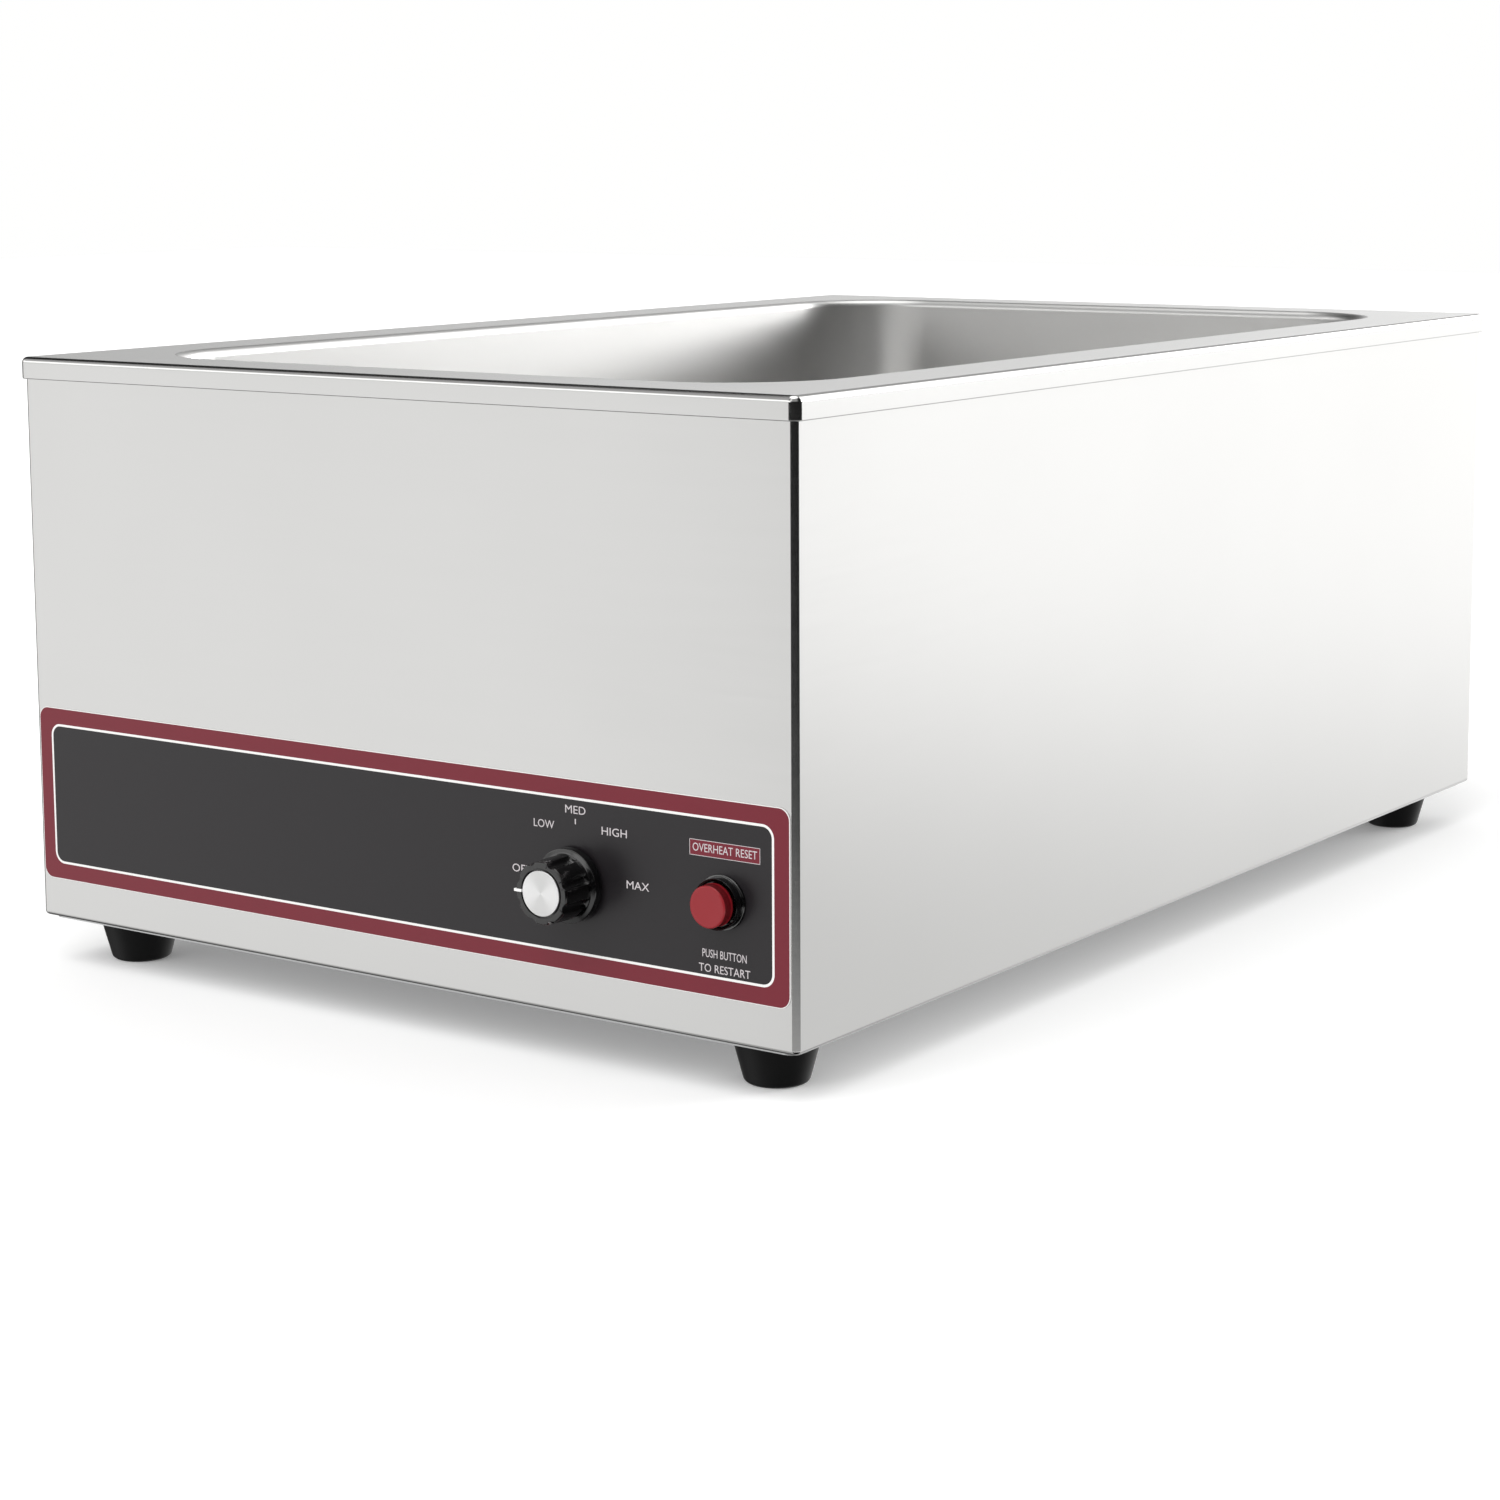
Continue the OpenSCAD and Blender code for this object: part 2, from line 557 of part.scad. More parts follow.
module limiter_capillary() color([0.72, 0.45, 0.28])
    tube(curve(limiter_capillary_points, 3), capillary_r, 6);

module bulb(x) color([0.72, 0.45, 0.28]) translate([x, bulb_front, bulb_z])
    rotate([-90, 0, 0]) cylinder(d = bulb_d, h = bulb_l);

module thermostat_bulb() bulb(0);

module limiter_bulb() bulb(element_pitch);

module bulb_clips() color(steel) for (x = [0, element_pitch], y = clip_y)
    translate([x, y, under_z]) rotate([90, 0, 0]) linear_extrude(clip_w, center = true) {
        difference() {
            union() {
                translate([0, bulb_z - under_z]) circle(d = bulb_d + 2);
                translate([-bulb_d / 2 - 1, bulb_z - under_z]) square([bulb_d + 2, under_z - bulb_z]);
            }
            translate([0, bulb_z - under_z]) circle(d = bulb_d + 0.3);
            translate([-bulb_d / 2 - 0.15, bulb_z - under_z]) square([bulb_d + 0.3, bulb_d]);
        }
        for (s = [-1, 1]) translate([s * (bulb_d / 2 + 4.6) - 4, -0.8]) square([8, 0.8]);
    }

module reset_button() color([0.72, 0.10, 0.12]) on_panel(button_x, button_z) rotate_extrude() polygon([
    [0, barrel_end - 2], [stem_r, barrel_end - 2], [stem_r, button_back], [button_d / 2, button_back],
    [button_d / 2, overlay_t + button_reach - 0.7], [button_d / 2 - 0.7, overlay_t + button_reach],
    [0, overlay_t + button_reach]]);

module reset_bezel() color(dark) on_panel(button_x, button_z) rotate_extrude() difference() {
    union() {
        polygon([[0, overlay_t], [bezel_d / 2, overlay_t], [bezel_d / 2, overlay_t + flange_t - 0.3],
            [bezel_d / 2 - 0.3, overlay_t + flange_t], [collar_r, overlay_t + flange_t],
            [collar_r, overlay_t + bezel_h - 0.3], [collar_r - 0.3, overlay_t + bezel_h],
            [0, overlay_t + bezel_h]]);
        translate([0, barrel_end]) square([barrel_r, overlay_t - barrel_end]);
    }
    translate([0, recess_z]) square([7.75, 10]);
    translate([0, pocket_z]) square([pocket_r, 20]);
    translate([0, barrel_end - 1]) square([stem_r + run_gap, 30]);
}

module reset_nut() color(dark) on_panel(button_x, button_z) translate([0, 0, -sheet_t - 3])
    hex_nut(19, 3, barrel_r + 0.1);

module reset_spring() color(steel) on_panel(button_x, button_z) tube(coil_points, coil_wire_r, 6);

module limiter_body() color([0.55, 0.55, 0.56]) on_panel(button_x, button_z) difference() {
    translate([0, 0, limiter_back]) linear_extrude(limiter_depth) rounded_rect(control_w - 2, control_h, 2);
    translate([0, 0, barrel_end - button_travel - 2.6]) cylinder(r = stem_r + 0.1, h = 10);
}

module heating_element() color([0.45, 0.42, 0.40]) translate([0, 0, element_z]) {
    for (k = [0, 3]) translate([leg_x[k], tail_y, 0]) rotate([-90, 0, 0])
        cylinder(d = element_d, h = element_leg / 2 - tail_y);
    for (k = [1, 2]) translate([leg_x[k], -element_leg / 2, 0]) rotate([-90, 0, 0])
        cylinder(d = element_d, h = element_leg);
    for (x = [-1, 1]) translate([x * element_pitch, element_leg / 2, 0])
        rotate_extrude(angle = 180) translate([element_pitch / 2, 0]) circle(d = element_d);
    translate([0, -element_leg / 2, 0]) rotate(180)
        rotate_extrude(angle = 180) translate([element_pitch / 2, 0]) circle(d = element_d);
}

module element_pins() color(steel) for (k = [0, 3]) translate([leg_x[k], pin_y, element_z])
    rotate([-90, 0, 0]) cylinder(r = 2, h = pin_l);

module element_clamps() color(steel) for (y = [-1, 1]) difference() {
    box_at(3 * element_pitch + 30, 2 * element_d, clamp_t, [0, y * clamp_y, clamp_z]);
    for (x = [-1, 1]) translate([x * element_pitch, y * clamp_y, clamp_z - 1])
        cylinder(r = stud_r + 0.2, h = clamp_t + 2);
}

module pan_studs() color(steel) for (p = stud_points) translate([p[0], p[1], shield_z - 7])
    cylinder(r = stud_r, h = under_z - shield_z + 7);

module clamp_nuts() color(steel) for (p = stud_points) translate([p[0], p[1], clamp_z - stud_nut_t])
    hex_nut(8, stud_nut_t, stud_r + 0.1);

module shield_spacers() color(steel) for (p = stud_points)
    translate([p[0], p[1], shield_z + shield_t]) difference() {
        cylinder(r = 4, h = clamp_z - stud_nut_t - shield_z - shield_t);
        translate([0, 0, -1]) cylinder(r = stud_r + 0.2, h = 30);
    }

module heat_shield() color([0.85, 0.85, 0.86]) difference() {
    box_at(shield_w, shield_l, 8, [0, 0, shield_z]);
    box_at(shield_w - 2 * shield_t, shield_l - 2 * shield_t, 20, [0, 0, shield_z + shield_t]);
    for (p = stud_points) translate([p[0], p[1], shield_z - 1]) cylinder(r = stud_r + 0.2, h = 4);
}

module shield_nuts() color(steel) for (p = stud_points) translate([p[0], p[1], shield_z - stud_nut_t])
    hex_nut(8, stud_nut_t, stud_r + 0.1);

module side_lining(s) color([0.85, 0.80, 0.62]) box_at(side_lining_t - seat_gap,
    well_l - 2 * well_corner_r - 4, lining_h,
    [s * (well_w / 2 + sheet_t + (side_lining_t + seat_gap) / 2), 0, lining_z]);

module end_lining(s) color([0.85, 0.80, 0.62]) box_at(well_w - 2 * well_corner_r - 4,
    end_lining_t - seat_gap, lining_h,
    [0, s * (well_l / 2 + sheet_t + (end_lining_t + seat_gap) / 2), lining_z]);

module insulation_left() side_lining(-1);

module insulation_right() side_lining(1);

module insulation_front() end_lining(-1);

module insulation_rear() end_lining(1);

module foot(x, y) color(dark) translate([x * foot_x, y * foot_y, 0]) {
    r1 = foot_top_d / 2;
    r0 = foot_bottom_d / 2;
    side = norm([r1 - r0, foot_h]);
    edge_x = r0 + foot_edge_r * (r1 - r0 - side) / foot_h;
    rotate_extrude() difference() {
        union() {
            polygon([[0, 0], [edge_x, 0], [edge_x, foot_edge_r],
                [edge_x + foot_edge_r * foot_h / side, foot_edge_r - foot_edge_r * (r1 - r0) / side],
                [r1, foot_h], [0, foot_h]]);
            translate([edge_x, foot_edge_r]) circle(foot_edge_r);
        }
        translate([0, -1]) square([foot_bore_r, foot_h + 2]);
        translate([0, -1]) square([foot_sink_r, foot_sink_h + 1]);
    }
}

module foot_front_left() foot(-1, -1);

module foot_front_right() foot(1, -1);

module foot_rear_left() foot(-1, 1);

module foot_rear_right() foot(1, 1);

module at_feet(z) {
    for (x = [-1, 1], y = [-1, 1]) translate([x * foot_x, y * foot_y, z]) children();
}

module foot_screws() color(steel) at_feet(foot_sink_h - 1.2) {
    translate([0, 0, -3]) cylinder(r1 = 3.7, r2 = 4.5, h = 0.9);
    translate([0, 0, -2.1]) cylinder(r = 4.5, h = 2.1);
    cylinder(r = 2.5, h = casing_bottom - foot_sink_h + 1.2 + 6);
}

module foot_washers() color(steel) at_feet(foot_sink_h - 1.2) difference() {
    cylinder(r = 5.7, h = 1.2);
    translate([0, 0, -1]) cylinder(r = foot_bore_r, h = 4);
}

module foot_nuts() color(steel) at_feet(casing_bottom) hex_nut(8, 4, 2.6);

module cord_gland() color(dark) on_rear(gland_x, gland_z) difference() {
    union() {
        hex(22, 5);
        rotate_extrude() polygon([[0, -sheet_t - 12], [7.5, -sheet_t - 12], [7.5, 1], [10, 1],
            [10, gland_reach - 5], [8, gland_reach], [0, gland_reach]]);
        translate([0, 0, -0.5]) cylinder(r = 7.5, h = 1);
    }
    translate([0, 0, -sheet_t - 13]) cylinder(d = gland_bore, h = gland_reach + sheet_t + 14);
}

module gland_nut() color(dark) on_rear(gland_x, gland_z) translate([0, 0, -sheet_t - 5])
    hex_nut(23, 5, 7.6);

module terminal_block() color([0.92, 0.90, 0.84]) translate([block_x, block_y, casing_bottom]) difference() {
    union() {
        box_at(block_w, block_l, block_h, [0, 0, 0]);
        box_at(block_w + 2 * ear_w, block_l / 2, ear_t, [0, 0, 0]);
    }
    for (s = [-1, 1]) translate([s * block_screw, 0, -1]) cylinder(r = 1.7, h = ear_t + 4);
    for (k = [-1, 0, 1]) translate([pole_pitch * k, 0, 0]) {
        translate([0, 0, 12]) cylinder(r = 2.6, h = 20);
        translate([0, 4, pole_z - casing_bottom]) rotate([-90, 0, 0]) cylinder(r = 2.2, h = 10);
    }
}

module block_screws() color(steel) for (s = [-1, 1])
    translate([block_x + s * block_screw, block_y, casing_bottom]) {
        translate([0, 0, ear_t]) cylinder(r = 2.9, h = 2);
        translate([0, 0, -4]) cylinder(r = 1.5, h = 8);
    }

module earth_stud() color([0.80, 0.66, 0.35]) translate([earth_x, earth_y, casing_bottom])
    cylinder(r = 2, h = 12);

module earth_lug() color(steel) translate([earth_x, earth_y, casing_bottom]) {
    difference() {
        union() {
            cylinder(r = 4.5, h = 1);
            box_at(4, 12, 1, [0, -6, 0]);
        }
        translate([0, 0, -1]) cylinder(r = 2.2, h = 4);
    }
    translate([0, lug_y - earth_y, 2.2]) rotate([-90, 0, 0]) cylinder(r = 2, h = 7);
}

module earth_nut() color([0.80, 0.66, 0.35]) translate([earth_x, earth_y, casing_bottom + 1])
    hex_nut(7, 3.2, 2.1);

module live_wire() color([0.45, 0.25, 0.15]) tube(curve(live_points, 4), wire_r);

module link_wire() color([0.45, 0.25, 0.15]) tube(curve(link_points, 4), wire_r);

module load_wire() color([0.45, 0.25, 0.15]) tube(curve(load_points, 4), wire_r);

module neutral_wire() color([0.20, 0.35, 0.70]) tube(curve(neutral_points, 4), wire_r);

module earth_wire() color([0.25, 0.60, 0.25]) tube(curve(earth_points, 4), wire_r);

casing();
seam_strip();
seam_rivets();
water_pan();
base_plate();
base_screws();
control_overlay();
knob_body();
knob_inlay();
knob_pointer();
knob_grub_screw();
thermostat_shaft();
thermostat_body();
thermostat_nut();
thermostat_terminals();
thermostat_capillary();
thermostat_bulb();
reset_button();
reset_bezel();
reset_nut();
reset_spring();
limiter_body();
limiter_terminals();
limiter_capillary();
limiter_bulb();
bulb_clips();
heating_element();
element_pins();
element_clamps();
pan_studs();
clamp_nuts();
shield_spacers();
heat_shield();
shield_nuts();
insulation_left();
insulation_right();
insulation_front();
insulation_rear();
foot_front_left();
foot_front_right();
foot_rear_left();
foot_rear_right();
foot_screws();
foot_washers();
foot_nuts();
cord_gland();
gland_nut();
terminal_block();
block_screws();
earth_stud();
earth_lug();
earth_nut();
live_wire();
link_wire();
load_wire();
neutral_wire();
earth_wire();
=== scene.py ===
import json
import math

import bmesh
import bpy
from bpy.props import FloatProperty, FloatVectorProperty, IntProperty, PointerProperty
from mathutils import Matrix, Vector


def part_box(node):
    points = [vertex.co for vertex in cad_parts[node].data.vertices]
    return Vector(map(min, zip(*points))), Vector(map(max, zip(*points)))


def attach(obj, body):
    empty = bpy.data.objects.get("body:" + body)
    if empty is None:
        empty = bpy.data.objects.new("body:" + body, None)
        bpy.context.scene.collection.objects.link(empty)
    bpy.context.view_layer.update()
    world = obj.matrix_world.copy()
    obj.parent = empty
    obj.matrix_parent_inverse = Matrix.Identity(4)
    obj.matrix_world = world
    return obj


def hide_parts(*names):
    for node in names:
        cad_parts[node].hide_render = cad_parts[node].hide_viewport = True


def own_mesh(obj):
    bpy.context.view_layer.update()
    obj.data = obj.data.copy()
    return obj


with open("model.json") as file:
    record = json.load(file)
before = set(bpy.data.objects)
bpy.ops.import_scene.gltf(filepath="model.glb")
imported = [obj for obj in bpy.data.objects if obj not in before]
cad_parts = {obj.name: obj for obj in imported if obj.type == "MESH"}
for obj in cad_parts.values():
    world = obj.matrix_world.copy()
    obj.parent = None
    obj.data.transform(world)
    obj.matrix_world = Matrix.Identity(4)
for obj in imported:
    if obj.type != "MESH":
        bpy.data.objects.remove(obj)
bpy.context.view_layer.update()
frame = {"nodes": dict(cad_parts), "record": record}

bl_info = {
    "name": "Steam Table Food Warmer",
    "version": (1, 0, 0),
    "blender": (4, 5, 0),
    "location": "View3D > Sidebar > Warmer",
    "description": "Bent sheet, printed panel, controls and studio for a countertop food warmer",
    "category": "Add Mesh",
}

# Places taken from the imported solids, in metres
NODES = frame["nodes"]
PAN_LOW, PAN_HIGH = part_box("water_pan")
CASING_LOW, CASING_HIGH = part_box("casing")
OVERLAY_LOW, OVERLAY_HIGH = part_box("control_overlay")
FRONT_Y, REAR_Y = CASING_LOW.y, CASING_HIGH.y


def middle(node):
    low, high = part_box(node)
    return (low + high) / 2


KNOB = middle("knob_body")
BUTTON = middle("reset_bezel")
GLAND = middle("cord_gland")
FEET = ("foot_front_left", "foot_front_right", "foot_rear_left", "foot_rear_right")
BOARDS = ("insulation_left", "insulation_right", "insulation_front", "insulation_rear")
# Rivets beside the rear seam as (x, z), and screws round the base as (x, y)
RIVETS = [(x, 0.043 + 0.0435 * k) for x in (-0.0085, 0.0085) for k in range(5)]
BASE_SCREWS = [(x * 0.1725, y * 0.145485) for x in (-1, 1) for y in (-1, 0, 1)]
BASE_SCREWS += [(x * 0.0897, y * 0.2745) for x in (-1, 1) for y in (-1, 1)]
# Knob: heights of the skirt and the face over the front wall, radius and seat of the inlay
KNOB_BASE, KNOB_FACE = 0.0015, 0.0187
INLAY_RADIUS, INLAY_SEAT = 0.00815, KNOB_FACE - 0.0012

QUARTER, TURN = math.pi / 2, 2 * math.pi
# Distances under which two places count as one, and under which points are merged
TOUCH, MERGE, MERGE_CUT = 1e-5, 1e-6, 2e-6


def length(name, text, value):
    return FloatProperty(name=name, description=text, default=value, unit="LENGTH", precision=5)


def count(name, text, value, least):
    return IntProperty(name=name, description=text, default=value, min=least)


def colour(name, text, value):
    return FloatVectorProperty(name=name, description=text, default=value, size=3,
                               subtype="COLOR", min=0.0, max=1.0)


class WarmerSheet(bpy.types.PropertyGroup):
    """Sizes of the bent and drawn sheets"""
    sheet: length("Sheet", "Thickness of the steel sheet", 0.001)
    rim_height: length("Rim height", "Height of the rim turned down round the deck", 0.0086)
    rim_corner: length("Rim corner", "Radius of the rim's four corners", 0.0034)
    rim_edge: length("Rim edge", "Rounding of the rim's lower edge", 0.00045)
    rim_bend: length("Rim bend", "Radius of the bend between deck and rim", 0.0024)
    deck_side: length("Deck beside the well", "From the rim's edge to the side walls", 0.033)
    deck_end: length("Deck at the ends", "From the rim's edge to the end walls", 0.031)
    well_corner: length("Well corner", "Radius of the well's upright corners", 0.045)
    well_lip: length("Well lip", "Radius between deck and walls", 0.0035)
    well_foot: length("Well floor bend", "Radius between walls and floor", 0.018)
    casing_corner: length("Casing corner", "Radius of the casing's upright bends", 0.0022)
    casing_bend: length("Casing edge", "Radius of the casing's top and bottom bends", 0.0018)
    flange: length("Flange", "Width of the flanges turned in", 0.014)
    seam: length("Seam", "Gap between the ends of the wrap at the rear", 0.0006)
    shaft_hole: length("Shaft hole", "Radius of the hole for the knob's shaft", 0.0052)
    button_hole: length("Button hole", "Radius of the hole for the bezel", 0.0072)
    gland_hole: length("Gland hole", "Radius of the hole for the cord gland", 0.0078)
    rivet_hole: length("Rivet hole", "Radius of the rivets' holes", 0.0017)
    screw_hole: length("Screw hole", "Radius of the base screws' holes", 0.0021)
    corner_steps: count("Corner steps", "Faces round a corner", 12, 4)
    bend_steps: count("Bend steps", "Faces across a small bend", 6, 3)
    floor_steps: count("Floor bend steps", "Faces across the bend at the well's floor", 10, 3)


class WarmerPrint(bpy.types.PropertyGroup):
    """Printed film on the control panel"""
    corner: length("Film corner", "Corner radius of the film", 0.0045)
    corner_steps: count("Corner steps", "Faces round a corner of the film", 10, 4)
    edge: length("Film edge", "Bevel round the film's edge", 0.00008)
    outline: length("Outline", "Width of the light edge round the film", 0.00025)
    inset: length("Line inset", "From the film's edge to the white line", 0.0064)
    line: length("Line", "Width of the white line", 0.0009)
    line_corner: length("Line corner", "Corner radius of the white line", 0.0048)
    shaft_hole: length("Shaft hole", "Radius of the hole for the knob's nut", 0.009)
    button_hole: length("Button hole", "Radius of the hole for the bezel", 0.0074)
    letter: length("Letter size", "Size of the panel's lettering", 0.0041)
    proud: length("Print height", "Thickness of the framed label's lines", 0.00004)
    field_colour: colour("Field", "Colour of the film's field", (0.0112, 0.0093, 0.0110))
    border_colour: colour("Border", "Colour of the film's border", (0.150, 0.005, 0.0165))
    line_colour: colour("Line", "Colour of the white line", (0.80, 0.79, 0.78))
    letter_colour: colour("Letters", "Colour of the lettering", (0.56, 0.52, 0.535))


class WarmerControls(bpy.types.PropertyGroup):
    """Knob, button and feet"""
    flutes: count("Flutes", "Flutes round the knob's grip", 8, 4)
    flute_radius: length("Flute radius", "Radius of a flute", 0.0022)
    flute_depth: length("Flute depth", "Depth of a flute", 0.0011)
    knob_colour: colour("Knob", "Colour of knob and bezel", (0.002, 0.002, 0.0022))
    cap_colour: colour("Button cap", "Colour of the button", (0.25, 0.009, 0.015))
    foot_colour: colour("Feet", "Colour of the feet", (0.0075, 0.0075, 0.0077))


class WarmerStudio(bpy.types.PropertyGroup):
    """Floor, light and camera"""
    steel_colour: colour("Steel", "Colour of the stainless sheet", (0.664, 0.661, 0.654))
    floor_colour: colour("Floor", "Colour of the floor", (0.93, 0.93, 0.93))
    floor_size: length("Floor size", "Width of the square floor", 12.0)
    floor_glow: FloatProperty(name="Floor glow", description="Light that the floor itself gives",
                              default=0.15, min=0.0)
    key_place: FloatVectorProperty(name="Key light", description="Where the key light comes from",
                                   default=(-0.15, -0.95, 1.10), subtype="XYZ")
    key_strength: FloatProperty(name="Key strength", description="Strength of the key light",
                                default=1.7, min=0.0)
    key_spread: FloatProperty(name="Key spread", description="Angle over which the key is soft",
                              default=math.radians(60), subtype="ANGLE")
    lens: FloatProperty(name="Lens", description="Focal length of the camera", default=78.175,
                        unit="CAMERA")
    shift: FloatProperty(name="Shift", description="Upward shift of the lens", default=-0.10)
    eye: FloatVectorProperty(name="Camera place", description="Where the camera stands",
                             default=(0.78239, -1.16184, 0.32621), subtype="TRANSLATION")
    aim: FloatVectorProperty(name="Camera turn", description="Yaw, downward pitch and roll",
                             default=tuple(math.radians(a) for a in (35.178, 8.123, -0.285)),
                             subtype="EULER")


# Selecting and shaping

def object_mode():
    bpy.ops.object.mode_set(mode="OBJECT")


def deselect():
    if bpy.context.object and bpy.context.object.mode != "OBJECT":
        object_mode()
    bpy.ops.object.select_all(action="DESELECT")


def activate(obj):
    deselect()
    obj.select_set(True)
    bpy.context.view_layer.objects.active = obj


def edit(obj):
    activate(obj)
    bpy.ops.object.mode_set(mode="EDIT")
    bpy.ops.mesh.select_mode(type="VERT")


def select_all():
    bpy.ops.mesh.select_all(action="SELECT")


def edit_all(obj):
    edit(obj)
    select_all()


def pick(obj, test):
    """Selects the vertices that pass a test on their index and place"""
    bm = bmesh.from_edit_mesh(obj.data)
    bm.verts.index_update()
    for v in bm.verts:
        v.select_set(False)
    bm.select_flush(False)
    for v in [v for v in bm.verts if test(v.index, v.co)]:
        v.select_set(True)
    bm.select_flush(True)
    bmesh.update_edit_mesh(obj.data)


def pick_faces(obj, test):
    """Selects the faces that pass a test on their middle"""
    bm = bmesh.from_edit_mesh(obj.data)
    bm.select_mode = {"FACE"}
    for f in bm.faces:
        f.select_set(False)
    bm.select_flush(False)
    for f in [f for f in bm.faces if test(f.calc_center_median())]:
        f.select_set(True)
    bmesh.update_edit_mesh(obj.data)


def selected(obj):
    bm = bmesh.from_edit_mesh(obj.data)
    bm.verts.index_update()
    return {v.index for v in bm.verts if v.select}


def outward():
    """Turns the normals of the mesh in edit mode outward"""
    select_all()
    bpy.ops.mesh.normals_make_consistent(inside=False)


def face_along(obj, where, way):
    """Turns an open sheet so that the faces found look along a direction"""
    edit(obj)
    outward()
    bm = bmesh.from_edit_mesh(obj.data)
    if sum(f.normal.dot(way) for f in bm.faces if where(f.calc_center_median())) < 0:
        bpy.ops.mesh.flip_normals()
    object_mode()


def named(name):
    obj = bpy.context.object
    obj.name = name
    obj.data.name = name
    return obj


def discard(obj):
    mesh = obj.data
    bpy.data.objects.remove(obj)
    bpy.data.meshes.remove(mesh)


def apply_place():
    bpy.ops.object.transform_apply(location=True, rotation=True, scale=True)


def apply_modifier(obj, kind, **values):
    activate(obj)
    mod = obj.modifiers.new(kind.lower(), kind)
    for key, value in values.items():
        setattr(mod, key, value)
    bpy.ops.object.modifier_apply(modifier=mod.name)


def thicken(obj, thickness):
    """Gives an open sheet its thickness, inward"""
    apply_modifier(obj, "SOLIDIFY", thickness=thickness, offset=-1.0, use_even_offset=True)


def bend(radius, start, end, steps, centre_r, centre_z):
    """Points of a section's bend, without its first one"""
    angles = [math.radians(start + (end - start) * k / steps) for k in range(1, steps + 1)]
    return [(centre_r + radius * math.cos(a), centre_z + radius * math.sin(a)) for a in angles]


def along(axis, points):
    """Stations of a rounded sweep that share one corner axis"""
    return [(axis, r, z) for r, z in points]


def within(co, axis, radius):
    """Whether a place lies inside a rounded rectangle about Z"""
    return math.hypot(max(abs(co.x) - axis[0], 0), max(abs(co.y) - axis[1], 0)) < radius


def extrude_up(dz):
    bpy.ops.mesh.extrude_edges_move(TRANSFORM_OT_translate={"value": (0, 0, dz)})


def widen(old, new, centre):
    """Brings the selected ring from one radius to another"""
    if abs(new - old) > 1e-9:
        bpy.ops.transform.resize(value=(new / old, new / old, 1), center_override=centre)


def rounded_sweep(name, stations, corner_steps, fill=False):
    """Section carried round a rounded rectangle

    A station is the corner axis (x, y), the radius and z.
    """
    (ax, ay), r, z = stations[0]
    deselect()
    bpy.ops.mesh.primitive_plane_add(size=2, location=(0, 0, z))
    obj = named(name)
    obj.scale = (ax + r, ay + r, 1)
    apply_place()
    edit_all(obj)
    bpy.ops.mesh.bevel(offset=r, segments=corner_steps, affect="VERTICES")
    select_all()
    bpy.ops.mesh.delete(type="ONLY_FACE")
    select_all()
    for (bx, by), r2, z2 in stations[1:]:
        extrude_up(z2 - z)
        ring = selected(obj)
        for sx in (-1, 1):
            for sy in (-1, 1):
                pick(obj, lambda i, co: i in ring and co.x * sx > 0 and co.y * sy > 0)
                widen(r, r2, (sx * ax, sy * ay, z2))
                if (bx, by) != (ax, ay):
                    bpy.ops.transform.translate(value=(sx * (bx - ax), sy * (by - ay), 0))
        pick(obj, lambda i, co: i in ring)
        (ax, ay), r, z = (bx, by), r2, z2
    if fill:
        bpy.ops.mesh.edge_face_add()
    object_mode()
    return obj


def carry_on(stations):
    """Extrudes the selected ring, which stands at the first station, through the others"""
    for (r, z), (r2, z2) in zip(stations, stations[1:]):
        extrude_up(z2 - z)
        widen(r, r2, (0, 0, z2))


def lathe(name, stations, steps=64, closed=False, cap_first=False, cap_last=False):
    """Section of (radius, z) turned about Z"""
    deselect()
    r, z = stations[0]
    bpy.ops.mesh.primitive_circle_add(vertices=steps, radius=r, fill_type="NOTHING",
                                      location=(0, 0, z))
    obj = named(name)
    apply_place()
    edit_all(obj)
    first = selected(obj)
    carry_on(stations)
    if cap_last:
        bpy.ops.mesh.edge_face_add()
    if cap_first:
        pick(obj, lambda i, co: i in first)
        bpy.ops.mesh.edge_face_add()
    if closed:
        select_all()
        bpy.ops.mesh.remove_doubles(threshold=MERGE)
    outward()
    object_mode()
    return obj


def rod(radius, depth, place, turn=(0, 0, 0), steps=48):
    """Round bar, used up by a cut or shaped further"""
    deselect()
    bpy.ops.mesh.primitive_cylinder_add(vertices=steps, radius=radius, depth=depth,
                                        location=place, rotation=turn)
    apply_place()
    return bpy.context.object


def slab(size, place, turn=(0, 0, 0)):
    """Square block, used up by a cut or shaped further"""
    deselect()
    bpy.ops.mesh.primitive_cube_add(size=1, location=place, rotation=turn)
    bpy.context.object.scale = size
    apply_place()
    return bpy.context.object


def round_edges(obj, radius):
    edit_all(obj)
    bpy.ops.mesh.bevel(offset=radius, segments=2, affect="EDGES")
    object_mode()


def subdivide(obj, cuts):
    edit_all(obj)
    bpy.ops.mesh.subdivide(number_cuts=cuts)
    object_mode()


def join(objs, name):
    deselect()
    for obj in objs:
        obj.select_set(True)
    bpy.context.view_layer.objects.active = objs[0]
    if len(objs) > 1:
        bpy.ops.object.join()
    return named(name)


def boolean(obj, tools, operation="DIFFERENCE"):
    """Cuts with the tools or adds them, then cleans the edges that this leaves"""
    tool = join(tools, "cutter")
    apply_modifier(obj, "BOOLEAN", operation=operation, solver="EXACT", object=tool)
    discard(tool)
    edit_all(obj)
    bpy.ops.mesh.remove_doubles(threshold=MERGE_CUT)
    bpy.ops.mesh.dissolve_degenerate(threshold=MERGE_CUT)
    object_mode()


def put(obj, place, turn=(0, 0, 0)):
    activate(obj)
    obj.rotation_euler = turn
    obj.location = place
    apply_place()


def on_panel(obj, x, z):
    """Turns local z out of the front wall and puts the piece on the panel"""
    put(obj, (x, FRONT_Y, z), (QUARTER, 0, 0))


def on_rear(obj, x, z):
    """Turns local z out of the rear wall and puts the piece there"""
    put(obj, (x, REAR_Y, z), (-QUARTER, 0, 0))


